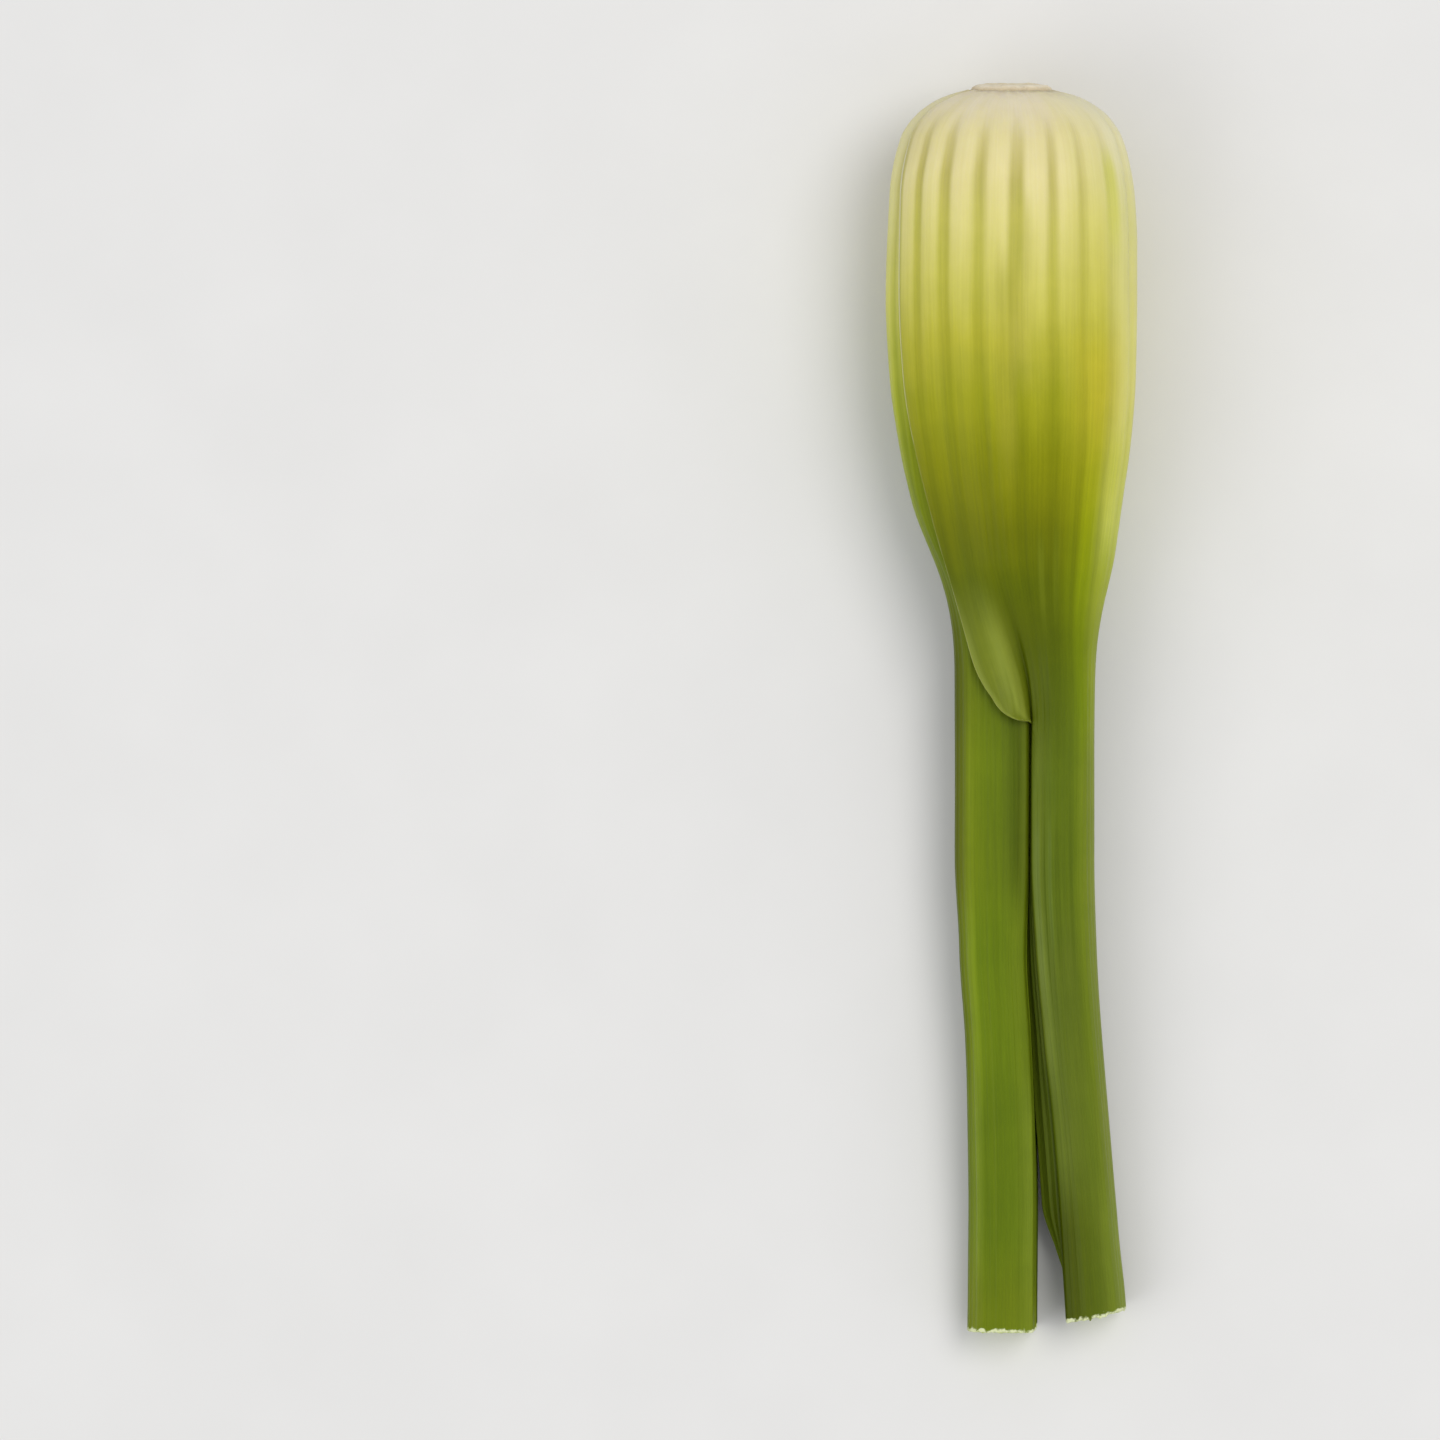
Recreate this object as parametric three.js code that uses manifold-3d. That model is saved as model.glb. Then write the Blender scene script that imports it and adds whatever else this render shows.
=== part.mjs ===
// Trimmed baby fennel: a bulb of overlapping leaf bases with two long stalks
// and one short one, lying on its flattened side.
//
// Millimetres, +Z up. The root end of the bulb points along +Y and the cut
// stalk ends along -Y, +X is to the right when it is seen from above with the
// root end at the top. The origin is the centre of the footprint, on the
// surface that the fennel lies on.
//
// Each leaf is one solid: a sheath that wraps round the bulb, thick along its
// middle and thin at its two margins, and narrows at the neck into a stalk.
// A leaf is lofted from sections taken along the bulb's own axis (s = distance
// from the root end). tau is the angle round that axis, 0 at the upper side
// and 90 on the right.

import * as THREE from "three";
import { mergeVertices } from "three/addons/utils/BufferGeometryUtils.js";
import Module from "manifold-3d";

// ---- driving dimensions (mm, degrees) ----
const LENGTH = 171.2; // root end to the cut stalk ends
const GAP = 0.3; // space kept between neighbouring leaves
const MARGIN_T = 0.55; // thickness of a sheath at its margin
const BELLY_FLAT = 0.15; // how far the underside is flattened
const TILT = 3.87; // the axis drops towards the stalk ends
const SHIFT = [0.04, 85.39, 15.8]; // places the origin under the middle

// Outline of the bulb and neck: right and left edges, and the half thickness
// above and below the axis.
const RIGHT = [[0, 0.2], [0.7, 4.6], [2, 9.3], [3.2, 11.5], [4.2, 12.8], [5.3, 13.8], [7.5, 15.1], [11.6, 16.2],
  [15.8, 16.8], [22, 17.1], [30, 17.1], [40, 17.0], [48.6, 16.4], [56.9, 15.25], [65, 14.1], [73.3, 12.9],
  [81.5, 11.9], [88, 11.55], [100, 11.45]];
const LEFT = [[0, -0.2], [0.7, -4.6], [2, -9.3], [3.2, -11.5], [5.3, -13.7], [7.5, -15.0], [15, -16.6], [29, -17],
  [40, -16.5], [50, -15.1], [60, -12.9], [70, -10.4], [78, -8.7], [84, -7.6], [100, -7.4]];
const TOP = [[0, 0.2], [0.7, 3.8], [2, 8.2], [3.2, 10], [5.3, 11.9], [7.5, 12.9], [15, 13.8], [25, 14], [35, 13.9],
  [45, 13.2], [55, 11.8], [65, 9.9], [72, 8.4], [80, 6.7], [85, 6], [92, 5.4], [100, 5.2]];
const BOTTOM = [[0, 0.2], [0.7, 3.8], [2, 8], [3.2, 9.8], [5.3, 11.6], [7.5, 12.5], [15, 13.3], [25, 13.5],
  [35, 13.4], [45, 12.8], [55, 11.8], [65, 10.7], [75, 9.7], [85, 8.9], [100, 8.4]];

// The heart's surface, which the leaves are layered between.
const HEART_S = [[1.3, 10.5], [3.2, 11.6], [7.5, 14.2], [15, 19], [30, 31], [45, 45], [110, 110]];
const HEART_A = [[1.3, 3.4], [3.2, 5], [7.5, 7], [15, 9], [25, 10], [45, 9.6], [60, 7.4], [70, 5.4], [90, 3]];
const HEART_TOP = [[1.3, 3], [3.2, 4.2], [7.5, 5.8], [15, 7.4], [25, 8.2], [45, 7.6], [60, 5.4], [70, 3.6], [90, 1.6]];
const HEART_BOT = [[1.3, 2.2], [3.2, 2.8], [7.5, 3.6], [15, 4.2], [25, 4.6], [45, 4.3], [60, 3.6], [70, 3], [90, 2.4]];

// mid: angle of the leaf's middle; lo, hi: angles of its two margins along s;
// body: how much of the sheath gathers into the stalk, each side of the middle;
// thick: sheath thickness at the middle; turn: where sheath becomes stalk;
// loEnd, hiEnd: where the two wings have run out, over the last loFade, hiFade;
// px, pz, pw, pd: the stalk's centre, half width and half depth;
// flank: how rounded (or, below 0, how hollow) the stalk's inner side is;
// cut: how far the stalk's cut end is set back, and its slope across.
const OUTER = {
  mid: 75, body: [90, 45], facing: 78, corner: 136, start: 1.25, end: LENGTH, turn: [64, 88],
  lo: [[1, -72], [20, -68], [43, -66], [57, -60], [68, -54], [76, -47], [80, -42], [82.2, -36.5], [83.6, -30.5],
    [85, -24.5], [86, -18], [86.8, -8], [87.5, 6]],
  hi: [[1, 214], [40, 210], [55, 200], [65, 188], [72, 174], [76, 163], [82, 150]],
  loEnd: 87.6, hiEnd: 82, loFade: 0.8, hiFade: 12,
  thick: [[1, 3.2], [8, 3.9], [30, 4.1], [60, 3.9], [75, 4.6], [88, 5]],
  px: [[60, 7.1], [88, 6.85], [106, 6.8], [118.5, 7.3], [131, 8.3], [143, 9.5], [155.5, 10.55], [171.2, 11.6]],
  pz: [[60, 0], [88, 0], [130, 0.2], [171.2, 0]],
  pw: [[60, 4.5], [88, 4.6], [106, 4.65], [118, 4.52], [131, 4.25], [143, 4.1], [156, 4.15], [171.2, 4.35]],
  pd: [[60, 4.6], [88, 4.6], [120, 4.35], [171.2, 4.25]],
  flank: [[60, -0.05], [100, -0.03], [106, 0.14], [118.5, 0.48], [131, 0.66], [143, 0.92], [154, 0.95], [160, 0.4],
    [165, 0.02], [171.2, -0.05]],
  cut: [2.1, 0.21],
};
const SECOND = {
  mid: -90, body: [50, 58], facing: -96, corner: 135, start: 1.3, end: LENGTH, turn: [57, 82],
  lo: [[1, -218], [40, -206], [55, -192], [65, -172], [70, -156], [72, -148]],
  hi: [[1, 46], [40, 34], [50, 18], [58, -4], [63, -16], [68, -26]],
  loEnd: 72, hiEnd: 68, loFade: 9, hiFade: 8,
  thick: [[1, 3], [8, 3.8], [30, 4.2], [60, 4.4], [84, 5]],
  px: [[55, -1.9], [84, -1.65], [95, -1.6], [106, -1.65], [118.5, -1.6], [131, -0.9], [143, -0.45], [155.5, -0.25], [171.2, -0.3]],
  pz: [[55, -0.3], [84, -0.3], [130, 0], [171.2, 0]],
  pw: [[55, 5.5], [84, 5.8], [106, 5.75], [118.5, 5.25], [131, 5.15], [143, 5.25], [171.2, 5.3]],
  pd: [[55, 4.1], [84, 4.1], [120, 4.2], [171.2, 4.2]],
  flank: [[60, -0.08], [171.2, -0.08]],
  cut: [0, 0],
};
const THIRD = {
  mid: 180, body: [48, 48], facing: 180, corner: 130, start: 5, end: 107, turn: [54, 80],
  lo: [[1, 52], [40, 66], [55, 92], [64, 118], [67, 126]],
  hi: [[1, 304], [40, 290], [55, 266], [64, 242], [67, 234]],
  loEnd: 70, hiEnd: 70, loFade: 12, hiFade: 12,
  thick: [[1, 3], [8, 3.9], [30, 4.3], [60, 3.8], [80, 3.6]],
  px: [[50, 2.4], [80, 2.7], [107, 2.9]],
  pz: [[50, -6.3], [84, -6.55], [107, -6.1]],
  pw: [[50, 2.9], [80, 2.7], [107, 2.4]],
  pd: [[50, 2.1], [80, 2.0], [107, 1.85]],
  flank: [[60, 0.16], [171.2, 0.16]],
  cut: [0, 0],
};

// The short stem that carries every leaf, cut across below where the root was.
const STEM = [[0, 0], [5.5, 0], [6.1, 0.5], [6.25, 1.3], [6.0, 2.6], [5.5, 4.2], [4.6, 6.2], [3.2, 8.0], [0, 8.9]];
const STEM_OVAL = 0.86;

// ---- curves ----
const rad = Math.PI / 180;

// Smooth curve through knots that never overshoots them.
function profile(knots) {
  const x = knots.map((k) => k[0]), y = knots.map((k) => k[1]), n = x.length;
  const h = [], d = [];
  for (let i = 0; i < n - 1; i++) {
    h.push(x[i + 1] - x[i]);
    d.push((y[i + 1] - y[i]) / h[i]);
  }
  const m = new Array(n).fill(0);
  m[0] = d[0];
  m[n - 1] = d[n - 2];
  for (let i = 1; i < n - 1; i++) {
    if (d[i - 1] * d[i] > 0) {
      const a = 2 * h[i] + h[i - 1], b = h[i] + 2 * h[i - 1];
      m[i] = (a + b) / (a / d[i - 1] + b / d[i]);
    }
  }
  return (s) => {
    if (s <= x[0]) return y[0];
    if (s >= x[n - 1]) return y[n - 1];
    let i = 0;
    while (s > x[i + 1]) i++;
    const t = (s - x[i]) / h[i], t2 = t * t, t3 = t2 * t;
    return y[i] * (2 * t3 - 3 * t2 + 1) + h[i] * m[i] * (t3 - 2 * t2 + t) + y[i + 1] * (3 * t2 - 2 * t3) +
      h[i] * m[i + 1] * (t3 - t2);
  };
}
const ease = (a, b, s) => {
  const t = Math.min(1, Math.max(0, (s - a) / (b - a)));
  return t * t * (3 - 2 * t);
};
const lerp = (a, b, t) => a + (b - a) * t;
const mix = (p, q, t) => new THREE.Vector3().lerpVectors(p, q, t);

const right = profile(RIGHT), left = profile(LEFT), top = profile(TOP), bottom = profile(BOTTOM);
const heartS = profile(HEART_S), heartA = profile(HEART_A), heartTop = profile(HEART_TOP), heartBot = profile(HEART_BOT);
for (const leaf of [OUTER, SECOND, THIRD])
  for (const k of ["lo", "hi", "thick", "px", "pz", "pw", "pd", "flank"]) leaf[k] = profile(leaf[k]);

// A point of the bulb's own axis frame: x across, y = -s, z up.
function oval(s, tau, a, up, down, cx, axial) {
  const c = Math.cos(tau * rad), q = Math.sin(tau * rad);
  const z = c > 0 ? up * c : down * c * (1 + BELLY_FLAT * q * q);
  return new THREE.Vector3(cx + a * q, -axial, z);
}
const centreX = (s) => (right(s) + left(s)) / 2;
const halfWidth = (s) => (right(s) - left(s)) / 2;
const skin = (s, tau) => oval(s, tau, halfWidth(s), top(s), bottom(s), centreX(s), s);
const heart = (s, tau) => oval(s, tau, heartA(s), heartTop(s), heartBot(s), centreX(s), heartS(s));
// The point a given depth under the bulb's skin.
function under(s, tau, depth) {
  const p = skin(s, tau), q = heart(s, tau);
  return mix(p, q, Math.min(0.97, depth / p.distanceTo(q)));
}

// Thickness of a sheath at angle tau: full at the middle, thin at its margins.
function thickness(leaf, s, tau) {
  const lo = leaf.lo(s), hi = leaf.hi(s);
  const d = tau < leaf.mid ? (leaf.mid - tau) / (leaf.mid - lo) : (tau - leaf.mid) / (hi - leaf.mid);
  return MARGIN_T + (leaf.thick(s) - MARGIN_T) * Math.pow(Math.max(0, 1 - d * d), 1.1);
}
// Space that a sheath takes at angle tau, easing to nothing past its margins.
function taken(leaf, s, tau) {
  let sum = 0;
  for (const t of [tau - 360, tau, tau + 360]) {
    const lo = leaf.lo(s), hi = leaf.hi(s);
    if (t >= lo && t <= hi) sum = Math.max(sum, thickness(leaf, s, t) + GAP);
    else if (t > lo - 14 && t < lo) sum = Math.max(sum, (MARGIN_T + GAP) * ease(lo - 14, lo, t));
    else if (t > hi && t < hi + 14) sum = Math.max(sum, (MARGIN_T + GAP) * (1 - ease(hi, hi + 14, t)));
  }
  return sum;
}
const depthOf = (outer, s, tau) => outer.reduce((sum, leaf) => sum + taken(leaf, s, tau), 0);

// Round the stalk: an oval with slightly squared sides.
function stalk(leaf, s, ang) {
  const c = Math.cos(ang * rad), q = Math.sin(ang * rad), e = 2 / 2.25;
  return new THREE.Vector3(
    leaf.px(s) + leaf.pw(s) * Math.sign(q) * Math.pow(Math.abs(q), e), -s,
    leaf.pz(s) + leaf.pd(s) * Math.sign(c) * Math.pow(Math.abs(c), e));
}

function resample(line, n) {
  const run = [0];
  for (let i = 1; i < line.length; i++) run.push(run[i - 1] + line[i].distanceTo(line[i - 1]));
  const out = [], total = run[run.length - 1];
  for (let k = 0, i = 0; k < n; k++) {
    const want = (total * k) / (n - 1);
    while (i < line.length - 2 && run[i + 1] < want) i++;
    out.push(mix(line[i], line[i + 1], Math.min(1, (want - run[i]) / (run[i + 1] - run[i] || 1))));
  }
  return out;
}

// One section of a leaf: its outer face from the low margin to the high one,
// and its inner face alongside.
function section(leaf, outside, s, n) {
  const w = ease(leaf.turn[0], leaf.turn[1], s);
  const loC = stalk(leaf, s, leaf.facing - leaf.corner), hiC = stalk(leaf, s, leaf.facing + leaf.corner);
  const mid = mix(loC, hiC, 0.5), half = hiC.clone().sub(loC).multiplyScalar(0.5), chord = half.length();
  const inward = mid.clone().sub(stalk(leaf, s, leaf.facing)).normalize();
  const bodyOut = [], bodyIn = [];
  for (let i = 0; i <= 36; i++) {
    const u = -1 + i / 18;
    const tau = leaf.mid + u * (u < 0 ? leaf.body[0] : leaf.body[1]);
    const d = depthOf(outside, s, tau), t = thickness(leaf, s, tau);
    const flat = mid.clone().addScaledVector(half, u * (1 - 0.6 / chord)).addScaledVector(inward, leaf.flank(s) * chord * (1 - u * u));
    bodyOut.push(mix(under(s, tau, d), stalk(leaf, s, leaf.facing + u * leaf.corner), w));
    bodyIn.push(mix(under(s, tau, d + t), flat, w));
  }
  const wing = (high) => {
    if (s >= (high ? leaf.hiEnd : leaf.loEnd)) return [[], []];
    const o = bodyOut[high ? 36 : 0], i = bodyIn[high ? 36 : 0];
    const off = high ? leaf.body[1] : -leaf.body[0], end = high ? leaf.hiEnd : leaf.loEnd;
    const gone = ease(end - (high ? leaf.hiFade : leaf.loFade), end, s);
    let from = leaf.mid + off;
    const q = Math.asin(Math.max(-1, Math.min(1, (o.x - centreX(s)) / halfWidth(s)))) / rad;
    const upper = Math.cos(from * rad) > 0;
    let near = upper ? q : 180 - q;
    near += 360 * Math.round((from - near) / 360);
    from = lerp(from, near, w);
    const want = lerp(high ? leaf.hi(s) : leaf.lo(s), from, gone);
    if ((high ? want - from : from - want) < 1.2) return [[], []];
    const a = [], b = [];
    const d0 = depthOf(outside, s, from), t0 = thickness(leaf, s, from);
    const co = o.clone().sub(under(s, from, d0)), ci = i.clone().sub(under(s, from, d0 + t0));
    for (let k = 1; k <= 18; k++) {
      const v = k / 18, tau = lerp(from, want, v), fade = (1 - v) * (1 - v);
      const d = depthOf(outside, s, tau), t = lerp(thickness(leaf, s, tau), MARGIN_T, v * Math.max(w, gone));
      a.push(under(s, tau, d).addScaledVector(co, fade));
      b.push(under(s, tau, d + t).addScaledVector(ci, fade));
    }
    return [a, b];
  };
  const [loO, loI] = wing(false), [hiO, hiI] = wing(true);
  const cut = (p) => {
    p.y += ease(leaf.end - 14, leaf.end, s) * (leaf.cut[0] + leaf.cut[1] * (p.x - leaf.px(leaf.end)));
    return p;
  };
  return {
    out: resample([...loO.reverse(), ...bodyOut, ...hiO], n).map(cut),
    inn: resample([...loI.reverse(), ...bodyIn, ...hiI], n).map(cut),
  };
}

// ---- solids ----
const wasm = await Module();
wasm.setup();

function geometryOf(points, faces) {
  const g = new THREE.BufferGeometry();
  g.setAttribute("position", new THREE.Float32BufferAttribute(points.flatMap((p) => [p.x, p.y, p.z]), 3));
  g.setIndex(faces.flat());
  return g;
}
function volume(points, faces) {
  let v = 0;
  for (const [a, b, c] of faces) v += points[a].dot(points[b].clone().cross(points[c]));
  return v / 6;
}
function loft(leaf, outside, stations, n) {
  const points = [], faces = [];
  for (const s of stations) {
    const { out, inn } = section(leaf, outside, s, n);
    points.push(...out, ...inn.reverse());
  }
  const m = 2 * n;
  for (let r = 0; r < stations.length - 1; r++)
    for (let i = 0; i < m; i++) {
      const a = r * m + i, b = r * m + ((i + 1) % m), c = a + m, d = b + m;
      if (points[a].distanceTo(points[d]) < points[b].distanceTo(points[c])) faces.push([a, b, d], [a, d, c]);
      else faces.push([a, b, c], [b, d, c]);
    }
  for (const r of [0, stations.length - 1])
    for (let i = 0; i < n - 1; i++) {
      const a = r * m + i, b = a + 1, d = r * m + (m - 1 - i), c = d - 1;
      if (r === 0) faces.push([a, c, b], [a, d, c]);
      else faces.push([a, b, c], [a, c, d]);
    }
  if (volume(points, faces) < 0) for (const f of faces) f.reverse();
  return { points, faces };
}
// The same shape grown outwards, to cut its neighbours clear of it.
function grown({ points, faces }, by) {
  const nrm = points.map(() => new THREE.Vector3());
  for (const [a, b, c] of faces) {
    const n = points[b].clone().sub(points[a]).cross(points[c].clone().sub(points[a]));
    for (const i of [a, b, c]) nrm[i].add(n);
  }
  return { points: points.map((p, i) => p.clone().addScaledVector(nrm[i].normalize(), by)), faces };
}
function solid(shape) {
  let g = shape.isBufferGeometry ? shape : geometryOf(shape.points, shape.faces);
  g.deleteAttribute("normal");
  g.deleteAttribute("uv");
  g = mergeVertices(g, 1e-4);
  return new wasm.Manifold(new wasm.Mesh({
    numProp: 3, vertProperties: new Float32Array(g.attributes.position.array), triVerts: new Uint32Array(g.index.array),
  }));
}
function largest(m) {
  return m.decompose().reduce((a, b) => (b.volume() > a.volume() ? b : a));
}
function backToGeometry(m) {
  const mesh = m.getMesh();
  const g = new THREE.BufferGeometry();
  g.setAttribute("position", new THREE.Float32BufferAttribute(mesh.vertProperties, 3));
  g.setIndex(Array.from(mesh.triVerts));
  g.computeVertexNormals();
  return g;
}

const stations = (list, start, end) => [start, ...list.filter((s) => s > start + 0.4 && s < end - 1), end];
const ALONG = [2, 3.4, 5.5, 8.5, 13, 19, 26, 34, 42, 50, 57, 63, 68, 72, 75.5, 78.4, 80.5, 82.5, 84.3, 85.8, 86.9, 87.7, 91,
  97, 105, 113, 121, 130, 139, 149, 157, 164];
const AROUND = 15; // points along each face of a leaf's section

const outerShape = loft(OUTER, [], stations(ALONG, OUTER.start, OUTER.end), AROUND + 1);
const secondShape = loft(SECOND, [OUTER], stations(ALONG, SECOND.start, SECOND.end), AROUND);
const thirdShape = loft(THIRD, [OUTER, SECOND], stations(ALONG, THIRD.start, THIRD.end), AROUND - 1);

// The heart: the youngest leaves, still rolled together into one closed shoot.
function heartShape() {
  const rings = [1.4, 2.6, 4.4, 7.5, 12, 18, 25, 33, 41, 48, 54, 59, 63.5], n = 20, points = [], faces = [];
  rings.forEach((s) => {
    const close = 1 - 0.8 * ease(44, 66, s);
    for (let i = 0; i < n; i++) {
      const tau = (360 * i) / n, p = heart(s, tau);
      points.push(new THREE.Vector3(lerp(centreX(s), p.x, 0.95 * close), p.y, lerp(0.6, p.z, 0.95 * close)));
    }
  });
  for (let r = 0; r < rings.length - 1; r++)
    for (let i = 0; i < n; i++) {
      const a = r * n + i, b = r * n + ((i + 1) % n);
      faces.push([a, b, b + n], [a, b + n, a + n]);
    }
  const foot = points.push(new THREE.Vector3(0, -heartS(1.4) + 0.7, 0.3)) - 1;
  const tip = points.push(new THREE.Vector3(centreX(66), -67, 0.7)) - 1;
  const e = (rings.length - 1) * n;
  for (let i = 0; i < n; i++) {
    faces.push([foot, (i + 1) % n, i]);
    faces.push([tip, e + i, e + ((i + 1) % n)]);
  }
  if (volume(points, faces) < 0) for (const f of faces) f.reverse();
  return { points, faces };
}

// The stem: a short turned shape, slightly oval, about the same axis.
function stemGeometry() {
  const g = new THREE.LatheGeometry(STEM.map(([r, s]) => new THREE.Vector2(r, -s)), 28);
  g.scale(1, 1, STEM_OVAL);
  const shape = { points: [], faces: [] };
  g.deleteAttribute("normal");
  g.deleteAttribute("uv");
  const m = mergeVertices(g, 1e-4), p = m.attributes.position;
  for (let i = 0; i < p.count; i++) shape.points.push(new THREE.Vector3().fromBufferAttribute(p, i));
  for (let i = 0; i < m.index.count; i += 3) {
    const f = [m.index.getX(i), m.index.getX(i + 1), m.index.getX(i + 2)];
    if (new Set(f).size === 3) shape.faces.push(f);
  }
  if (volume(shape.points, shape.faces) < 0) for (const f of shape.faces) f.reverse();
  return shape;
}

const stemShape = stemGeometry();
const clearOf = (shape, ...others) =>
  largest(others.reduce((m, o) => m.subtract(solid(grown(o, GAP + 0.04))), solid(shape)));

const PIECES = [
  ["outer_leaf", solid(outerShape), 0x8ba03a, 0.42],
  ["second_leaf", clearOf(secondShape, outerShape), 0x6f8a24, 0.42],
  ["third_leaf", clearOf(thirdShape, outerShape, secondShape), 0x93a648, 0.42],
  ["heart_shoot", clearOf(heartShape(), outerShape, secondShape, thirdShape), 0xd9dba0, 0.5],
  ["stem_base", clearOf(stemShape, outerShape, secondShape, thirdShape, heartShape()), 0xd8cfa8, 0.7],
];

const fennel = new THREE.Group();
for (const [name, body, color, roughness] of PIECES) {
  const mesh = new THREE.Mesh(backToGeometry(body), new THREE.MeshStandardMaterial({ color, roughness, metalness: 0 }));
  mesh.name = name;
  fennel.add(mesh);
}
fennel.rotation.x = TILT * rad;
fennel.position.set(...SHIFT);
fennel.updateMatrixWorld(true);

export default fennel;
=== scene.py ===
"""Trimmed baby fennel lying on a pale floor, seen from straight above.

Works in millimetres in the bulb's own axis frame (s = distance from the root
end, tau = angle round the axis, 0 at the upper side and 90 on the right) and
places every piece in metres in the shared frame at the end.
"""
import math

import bpy
import numpy as np
from mathutils import Matrix, Vector


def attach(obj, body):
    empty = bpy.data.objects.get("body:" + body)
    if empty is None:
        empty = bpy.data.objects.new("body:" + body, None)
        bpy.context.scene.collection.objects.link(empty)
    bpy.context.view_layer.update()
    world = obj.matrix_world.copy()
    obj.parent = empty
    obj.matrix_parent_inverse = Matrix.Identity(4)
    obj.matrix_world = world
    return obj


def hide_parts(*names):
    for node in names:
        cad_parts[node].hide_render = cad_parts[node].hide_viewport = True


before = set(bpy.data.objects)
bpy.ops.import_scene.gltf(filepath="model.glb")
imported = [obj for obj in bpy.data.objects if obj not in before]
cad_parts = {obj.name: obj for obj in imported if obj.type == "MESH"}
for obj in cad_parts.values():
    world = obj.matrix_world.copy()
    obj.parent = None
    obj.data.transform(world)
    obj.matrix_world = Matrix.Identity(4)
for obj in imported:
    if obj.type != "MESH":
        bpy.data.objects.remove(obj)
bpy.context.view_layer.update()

# ------------------------------------------------------------------ dimensions
LENGTH = 171.2
GAP = 0.3
MARGIN_T = 0.55
BELLY_FLAT = 0.15
TILT = 3.87
SHIFT = (0.04, 85.39, 15.8)

RIGHT = [[0, 0.2], [0.7, 4.6], [2, 9.3], [3.2, 11.5], [4.2, 12.8], [5.3, 13.8], [7.5, 15.1], [11.6, 16.2],
         [15.8, 16.8], [22, 17.1], [30, 17.1], [40, 17.0], [48.6, 16.4], [56.9, 15.25], [65, 14.1], [73.3, 12.9],
         [81.5, 11.9], [88, 11.55], [100, 11.45]]
LEFT = [[0, -0.2], [0.7, -4.6], [2, -9.3], [3.2, -11.5], [5.3, -13.7], [7.5, -15.0], [15, -16.6], [29, -17],
        [40, -16.5], [50, -15.1], [60, -12.9], [70, -10.4], [78, -8.7], [84, -7.6], [100, -7.4]]
TOP = [[0, 0.2], [0.7, 3.8], [2, 8.2], [3.2, 10], [5.3, 11.9], [7.5, 12.9], [15, 13.8], [25, 14], [35, 13.9],
       [45, 13.2], [55, 11.8], [65, 9.9], [72, 8.4], [80, 6.7], [85, 6], [92, 5.4], [100, 5.2]]
BOTTOM = [[0, 0.2], [0.7, 3.8], [2, 8], [3.2, 9.8], [5.3, 11.6], [7.5, 12.5], [15, 13.3], [25, 13.5],
          [35, 13.4], [45, 12.8], [55, 11.8], [65, 10.7], [75, 9.7], [85, 8.9], [100, 8.4]]
HEART_S = [[1.3, 10.5], [3.2, 11.6], [7.5, 14.2], [15, 19], [30, 31], [45, 45], [110, 110]]
HEART_A = [[1.3, 3.4], [3.2, 5], [7.5, 7], [15, 9], [25, 10], [45, 9.6], [60, 7.4], [70, 5.4], [90, 3]]
HEART_TOP = [[1.3, 3], [3.2, 4.2], [7.5, 5.8], [15, 7.4], [25, 8.2], [45, 7.6], [60, 5.4], [70, 3.6], [90, 1.6]]
HEART_BOT = [[1.3, 2.2], [3.2, 2.8], [7.5, 3.6], [15, 4.2], [25, 4.6], [45, 4.3], [60, 3.6], [70, 3], [90, 2.4]]


class Profile:
    """Smooth curve through knots that never overshoots them."""

    def __init__(self, knots):
        k = np.array(knots, float)
        self.x, self.y = k[:, 0], k[:, 1]
        h = np.diff(self.x)
        d = np.diff(self.y) / h
        m = np.zeros(len(self.x))
        m[0], m[-1] = d[0], d[-1]
        for i in range(1, len(m) - 1):
            if d[i - 1] * d[i] > 0:
                a, b = 2 * h[i] + h[i - 1], h[i] + 2 * h[i - 1]
                m[i] = (a + b) / (a / d[i - 1] + b / d[i])
        self.h, self.m = h, m

    def __call__(self, s):
        s = np.clip(np.asarray(s, float), self.x[0], self.x[-1])
        i = np.clip(np.searchsorted(self.x, s, side="right") - 1, 0, len(self.h) - 1)
        h = self.h[i]
        t = (s - self.x[i]) / h
        t2, t3 = t * t, t * t * t
        return (self.y[i] * (2 * t3 - 3 * t2 + 1) + h * self.m[i] * (t3 - 2 * t2 + t)
                + self.y[i + 1] * (3 * t2 - 2 * t3) + h * self.m[i + 1] * (t3 - t2))


right, left, top, bottom = map(Profile, (RIGHT, LEFT, TOP, BOTTOM))
heart_s, heart_a, heart_top, heart_bot = map(Profile, (HEART_S, HEART_A, HEART_TOP, HEART_BOT))


class Leaf:
    def __init__(self, **k):
        for name, v in k.items():
            setattr(self, name, Profile(v) if name in ("lo", "hi", "thick", "px", "pz", "pw", "pd", "flank") else v)


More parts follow.
